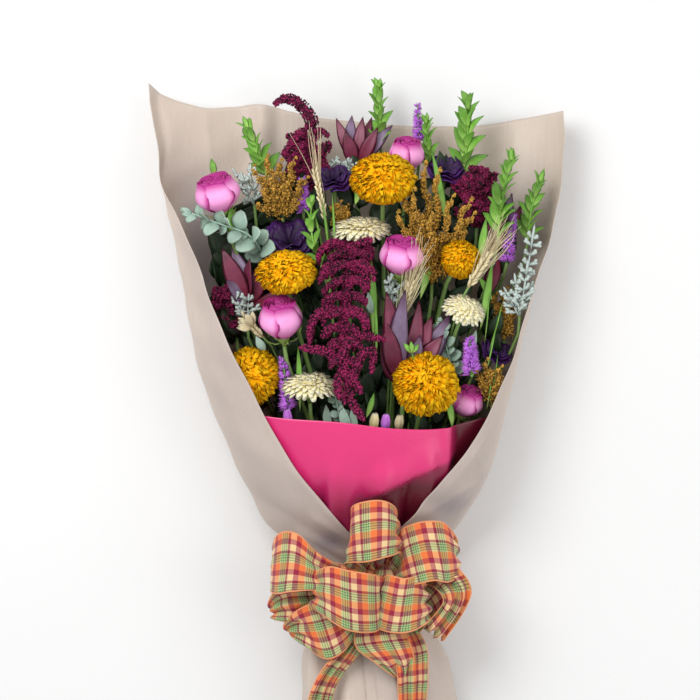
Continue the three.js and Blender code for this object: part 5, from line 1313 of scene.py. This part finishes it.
# Painted shade: the paper goes towards its deep red right of the crease, towards the bottom, in the drawn-in
# folds and under the diagonal lap.
under = ramp(below, -2, 6) * (1 - ramp(below, 26, 50)) * ramp(column, 352, 376)
deep = 1.1 * ramp(column, 446, 458) + 0.5 * ramp(row, 465, 520) + 0.3 * drawn_in + 0.7 * under - 0.1
band = paper_sheet(spot(column, row, height), np.clip(deep, 0, 1), pink_paper)
pink = gauged(make_piece("pink_sheet", [band], ["pink_paper"]), PINK_GAUGE)

# The wire: green florist wire wound twice round the wrapper's neck, which holds the bow.
WIRE_RING = 0.0284
WIRE_RADIUS = 0.0008
WIRE_TURNS = 2
WIRE_SPAN = 0.00216
wire_finish = skin("florist_wire", "24512b", "2f6a38", "3a7a44", 0.4, veins=0.0, variety=0.2)

wire = wound(WIRE_TURNS, WIRE_RING, WIRE_SPAN, 160, WIRE_RADIUS, wire_finish)
make_piece("bow_wire_turns", [wire], ["bow_wire"])

# The bow: one woven ribbon with wired edges, in a traditional plaid, folded into nine loops round
# the knot with two tails. Each loop is given by the routes of its two edges (pixel, height).
RIBBON_WIDTH = 0.0635
RIBBON_GAUGE = 0.0004
EDGE_WIRE = 0.0005
EDGE_BAND = 0.0011
THREADS_PER_METRE = 2400.0
RIBBON_STEPS = 64
RIBBON_COLUMNS = 17
RIBBON_WAVE = 0.0014
# Where the ribbon is drawn together to less than this width it is gathered in half pleats.
SLACK_WIDTH = 0.055
PLEATS = 5
MOST_GATHER = 1.9
RIBBON_ROUTES = [
    # top
    ([(380, 570, 90), (362, 530, 98), (351, 508, 118), (368, 500, 131), (387, 501, 127),
      (397, 513, 110), (388, 545, 92), (388, 570, 88)],
     [(382, 586, 90), (360, 574, 98), (344, 563, 116), (368, 560, 135), (392, 554, 131),
      (401, 552, 112), (392, 570, 94), (388, 588, 88)]),
    # upper right
    ([(386, 568, 92), (397, 534, 104), (413, 523, 120), (432, 520, 127), (446, 524, 119),
      (457, 545, 100), (425, 560, 88), (392, 572, 86)],
     [(390, 588, 92), (400, 585, 106), (415, 583, 125), (434, 579, 131), (448, 581, 121),
      (459, 575, 100), (420, 582, 86), (392, 592, 84)]),
    # upper left
    ([(380, 572, 92), (345, 566, 104), (318, 552, 118), (298, 533, 124), (281, 532, 112),
      (275, 545, 92), (305, 556, 84), (378, 572, 82)],
     [(380, 592, 92), (350, 594, 106), (320, 589, 122), (293, 590, 128), (276, 593, 113),
      (272, 590, 94), (300, 592, 84), (378, 590, 80)]),
    # front left
    ([(380, 574, 98), (382, 576, 113), (373, 573, 130), (350, 569, 139), (329, 565, 134),
      (317, 573, 112), (345, 580, 94), (380, 580, 90)],
     [(378, 604, 98), (380, 627, 111), (366, 631, 127), (345, 627, 135), (324, 614, 129),
      (313, 605, 110), (345, 610, 92), (378, 600, 88)]),
    # front right
    ([(386, 576, 98), (382, 577, 110), (389, 574, 122), (404, 577, 129), (417, 576, 122),
      (426, 585, 104), (405, 586, 92), (386, 584, 90)],
     [(386, 602, 98), (378, 624, 109), (386, 630, 121), (404, 631, 128), (420, 626, 120),
      (430, 616, 104), (405, 608, 92), (388, 600, 88)]),
    # right
    ([(390, 572, 86), (440, 556, 98), (462, 572, 112), (471, 590, 110), (464, 610, 106),
      (451, 630, 100), (441, 641, 91), (449, 606, 84), (434, 580, 84), (390, 576, 79)],
     [(390, 592, 86), (425, 584, 100), (438, 590, 118), (443, 600, 118), (436, 612, 110),
      (427, 622, 104), (418, 632, 93), (406, 622, 82), (400, 608, 80), (386, 598, 79)]),
    # lower left
    ([(380, 576, 84), (320, 583, 96), (288, 585, 102), (272, 594, 97), (271, 608, 88), (300, 604, 80),
      (378, 584, 78)],
     [(380, 598, 84), (332, 618, 94), (302, 622, 100), (282, 621, 95), (274, 618, 87), (312, 616, 79),
      (380, 600, 78)]),
    # bottom left
    ([(380, 586, 88), (345, 600, 102), (320, 601, 113), (303, 606, 111), (287, 619, 98),
      (286, 630, 88), (320, 630, 80), (378, 600, 78)],
     [(384, 602, 88), (357, 634, 100), (342, 652, 107), (325, 658, 105), (305, 645, 96),
      (291, 633, 88), (325, 645, 80), (382, 602, 80)]),
    # bottom
    ([(390, 596, 88), (402, 625, 102), (411, 645, 108), (414, 662, 101), (408, 675, 92),
      (398, 650, 86), (390, 600, 80)],
     [(376, 598, 88), (357, 626, 104), (356, 646, 110), (374, 661, 108), (397, 677, 95),
      (382, 652, 86), (380, 600, 80)]),
    # left tail
    ([(378, 594, 90), (345, 640, 98), (323, 668, 99), (311, 690, 98), (304, 714, 97)],
     [(388, 602, 88), (360, 652, 93), (343, 674, 91), (334, 692, 92), (330, 716, 94)]),
    # right tail
    ([(382, 598, 90), (394, 646, 97), (397, 672, 101), (398, 692, 100), (399, 716, 99)],
     [(392, 594, 88), (424, 640, 93), (428, 668, 97), (427, 692, 97), (425, 716, 97)]),
]
# The sett, across and along the ribbon: where each stripe starts in shares of its repeat, and
# its colour.
SETT_REPEAT = 0.0318
SETT = [
    (0.0, "f4924a"), (0.22, "b0104e"), (0.4, "f4dcae"), (0.61, "9c1048"), (0.7, "c0d49a"),
    (0.745, "4e7a4c"), (0.775, "c0d49a"), (0.83, "4e7a4c"), (0.86, "c0d49a"), (0.92, "4e7a4c"),
    (0.945, "ccd8a2")]


def plaid():
    """Plaid: the sett read across the ribbon from the UV map's U and along it from its V, both in metres,
    mixed thread by thread and deepened where both are dark; the outermost millimetre is the orange edge."""
    finish = new_finish("ribbon_plaid", {"Roughness": 0.75, "Sheen Weight": 0.25})
    tree = finish.node_tree
    place = from_map(tree)
    threads = []
    for metres in (place[0], place[1]):
        share = math(tree, "FRACT", math(tree, "DIVIDE", metres, SETT_REPEAT))
        stripes = add_node(tree, "ShaderNodeValToRGB", {0: share})
        stripes.color_ramp.interpolation = "CONSTANT"
        while len(stripes.color_ramp.elements) < len(SETT):
            stripes.color_ramp.elements.new(0.5)
        for element, (start, colour) in zip(stripes.color_ramp.elements, SETT):
            element.position = start
            element.color = linear(colour)
        threads.append(stripes.outputs[0])
    checks = {"Vector": tree.nodes.new("ShaderNodeUVMap").outputs[0], "Scale": THREADS_PER_METRE}
    weave = add_node(tree, "ShaderNodeTexChecker", checks).outputs[1]
    mixed = blend(tree, math(tree, "MULTIPLY_ADD", weave, 0.24, 0.38), *threads)
    woven = blend(tree, 0.52, mixed, blend(tree, 1.0, *threads, "MULTIPLY"))
    middle = math(tree, "ABSOLUTE", math(tree, "SUBTRACT", place[0], RIBBON_WIDTH / 2))
    edge = math(tree, "GREATER_THAN", middle, RIBBON_WIDTH / 2 - EDGE_BAND)
    return surfaced(finish, blend(tree, edge, woven, linear("f0a06c")), weave, 0.0002, 0.4)


ribbon_plaid = plaid()
edge_orange = skin("ribbon_edge", "e08a54", "eea070", "f6b48c", 0.6, veins=0.0, variety=0.1)


def ribbon_grid(one, other, order):
    """A ribbon between its two edges: at share u across and v along, the point between the edges, moved
    along the surface's normal by half pleats that take up the spare width, and by a slow wave."""
    u = np.linspace(0, 1, RIBBON_COLUMNS)[None, :, None]
    v = np.linspace(0, 1, RIBBON_STEPS)[:, None, None]
    grid = one[:, None] * (1 - u) + other[:, None] * u
    normal = unit(np.cross(np.gradient(grid, axis=0), np.gradient(grid, axis=1)))
    wide = np.linalg.norm(other - one, axis=-1)[:, None, None]
    spare = np.clip(SLACK_WIDTH / wide, 1.0, MOST_GATHER) ** 2 - 1
    pleat = wide / PLEATS / np.pi * np.sqrt(2 * spare)
    wave = RIBBON_WAVE * np.sin(np.pi * u) * np.sin(9 * v + order) * np.sin(np.pi * v)
    return grid + normal * (pleat * np.sin(PLEATS * np.pi * u) + wave)


ribbon_length = 0.0
strips, wires = [], []
for order, pair in enumerate(RIBBON_ROUTES):
    one, other = [traced(route, RIBBON_STEPS) for route in pair]
    grid = ribbon_grid(one, other, order)
    run = np.linalg.norm(np.diff(grid[:, RIBBON_COLUMNS // 2], axis=0), axis=-1)
    along = ribbon_length + np.concatenate([[0], np.cumsum(run)])
    ribbon_length = along[-1]
    uv = np.linspace(0, RIBBON_WIDTH, RIBBON_COLUMNS), along[:, None]
    strips.append(paper_sheet(grid, 0.5, ribbon_plaid, uv))
    wires.append(tubes(grid[:, [0, -1]].transpose(1, 0, 2), EDGE_WIRE, 6, 0.5, edge_orange))
make_piece("ribbon_edges", wires)
bow = gauged(make_piece("bow_plaid_ribbon", strips, ["bow_ribbon"]), RIBBON_GAUGE)

# The knot: the ribbon's pinched middle, wound over with the same ribbon.
KNOT = (385, 584, 88)
KNOT_HALF = 0.022
KNOT_GIRTH = 0.013
POST_RADIUS = 0.0105
POST_HEIGHTS = np.linspace(58, 92, 8)


def knot_grid(u, v):
    """The knot: at angle u round it and share v from end to end, a ring whose radius is the sine of v's angle
    times a girth with seven ribs, fuller in the middle, and whose place is the cosine of that angle."""
    polar = np.pi * (0.03 + 0.94 * v)
    girth = (KNOT_GIRTH + 0.0022 * np.sin(7 * u) + 0.006 * np.sin(np.pi * v)) * np.sin(polar)
    return np.stack([girth * np.cos(u), KNOT_HALF * np.cos(polar) + 0 * u, girth * np.sin(u) * 1.2], -1)


v = np.linspace(0, 1, 24)[:, None]
u = np.linspace(0, 2 * np.pi, 41)[None, :]
knot_uv = (u * KNOT_GIRTH, v * RIBBON_WIDTH * 0.9)
knot = paper_sheet(spot(*KNOT) + knot_grid(u, v), 0.3, ribbon_plaid, knot_uv)
post = tubes(spot(KNOT[0], KNOT[1], POST_HEIGHTS)[None], POST_RADIUS + 0.0015 * np.cos(np.arange(8)), 16,
             0.5, edge_orange)
make_piece("bow_knot", [knot, post])

# The floor is plain and pale; a broad soft lamp stands above to the left, with a fainter one to
# the right. The camera looks straight down on the bouquet, as the photograph does.
FLOOR_SIZE = 8
FLOOR_HEIGHT = -0.0006
bpy.ops.mesh.primitive_plane_add(size=FLOOR_SIZE, location=(0, 0, FLOOR_HEIGHT))
floor = bpy.context.object
floor.name = "floor"
floor.data.materials.append(new_finish("pale_floor", {"Base Color": (0.86, 0.86, 0.86, 1), "Roughness": 0.9}))

world = bpy.data.worlds.new("studio")
world.use_nodes = True
sky = world.node_tree.nodes["Background"]
sky.inputs["Color"].default_value = (1, 1, 1, 1)
sky.inputs["Strength"].default_value = 0.62
bpy.context.scene.world = world

AIM = (-0.03, 0.02, 0.05)
for name, place, size, power in (("key", (-0.9, 0.9, 1.8), 1.2, 28), ("fill", (1.3, -0.4, 1.5), 1.4, 9)):
    lamp = bpy.data.lights.new(name, "AREA")
    lamp.size = size
    lamp.energy = power
    stand = bpy.data.objects.new(name, lamp)
    bpy.context.scene.collection.objects.link(stand)
    stand.location = place
    aim = unit(np.subtract(AIM, place))
    stand.rotation_euler = (np.arccos(-aim[2]), 0, np.arctan2(aim[1], aim[0]) - np.pi / 2)

bpy.context.scene.view_settings.view_transform = "Standard"

PICTURE_PIXELS = 700
SENSOR = 36.0
CAMERA_DISTANCE = 6.0
FLOWER_HEIGHT = 90
eye = bpy.data.cameras.new("camera")
eye.sensor_width = SENSOR
eye.lens = SENSOR * CAMERA_DISTANCE / (PICTURE_PIXELS * PIXEL)
camera = bpy.data.objects.new("camera", eye)
bpy.context.scene.collection.objects.link(camera)
camera.location = spot(PICTURE_PIXELS / 2, PICTURE_PIXELS / 2, FLOWER_HEIGHT) + (0, 0, CAMERA_DISTANCE)
bpy.context.scene.camera = camera
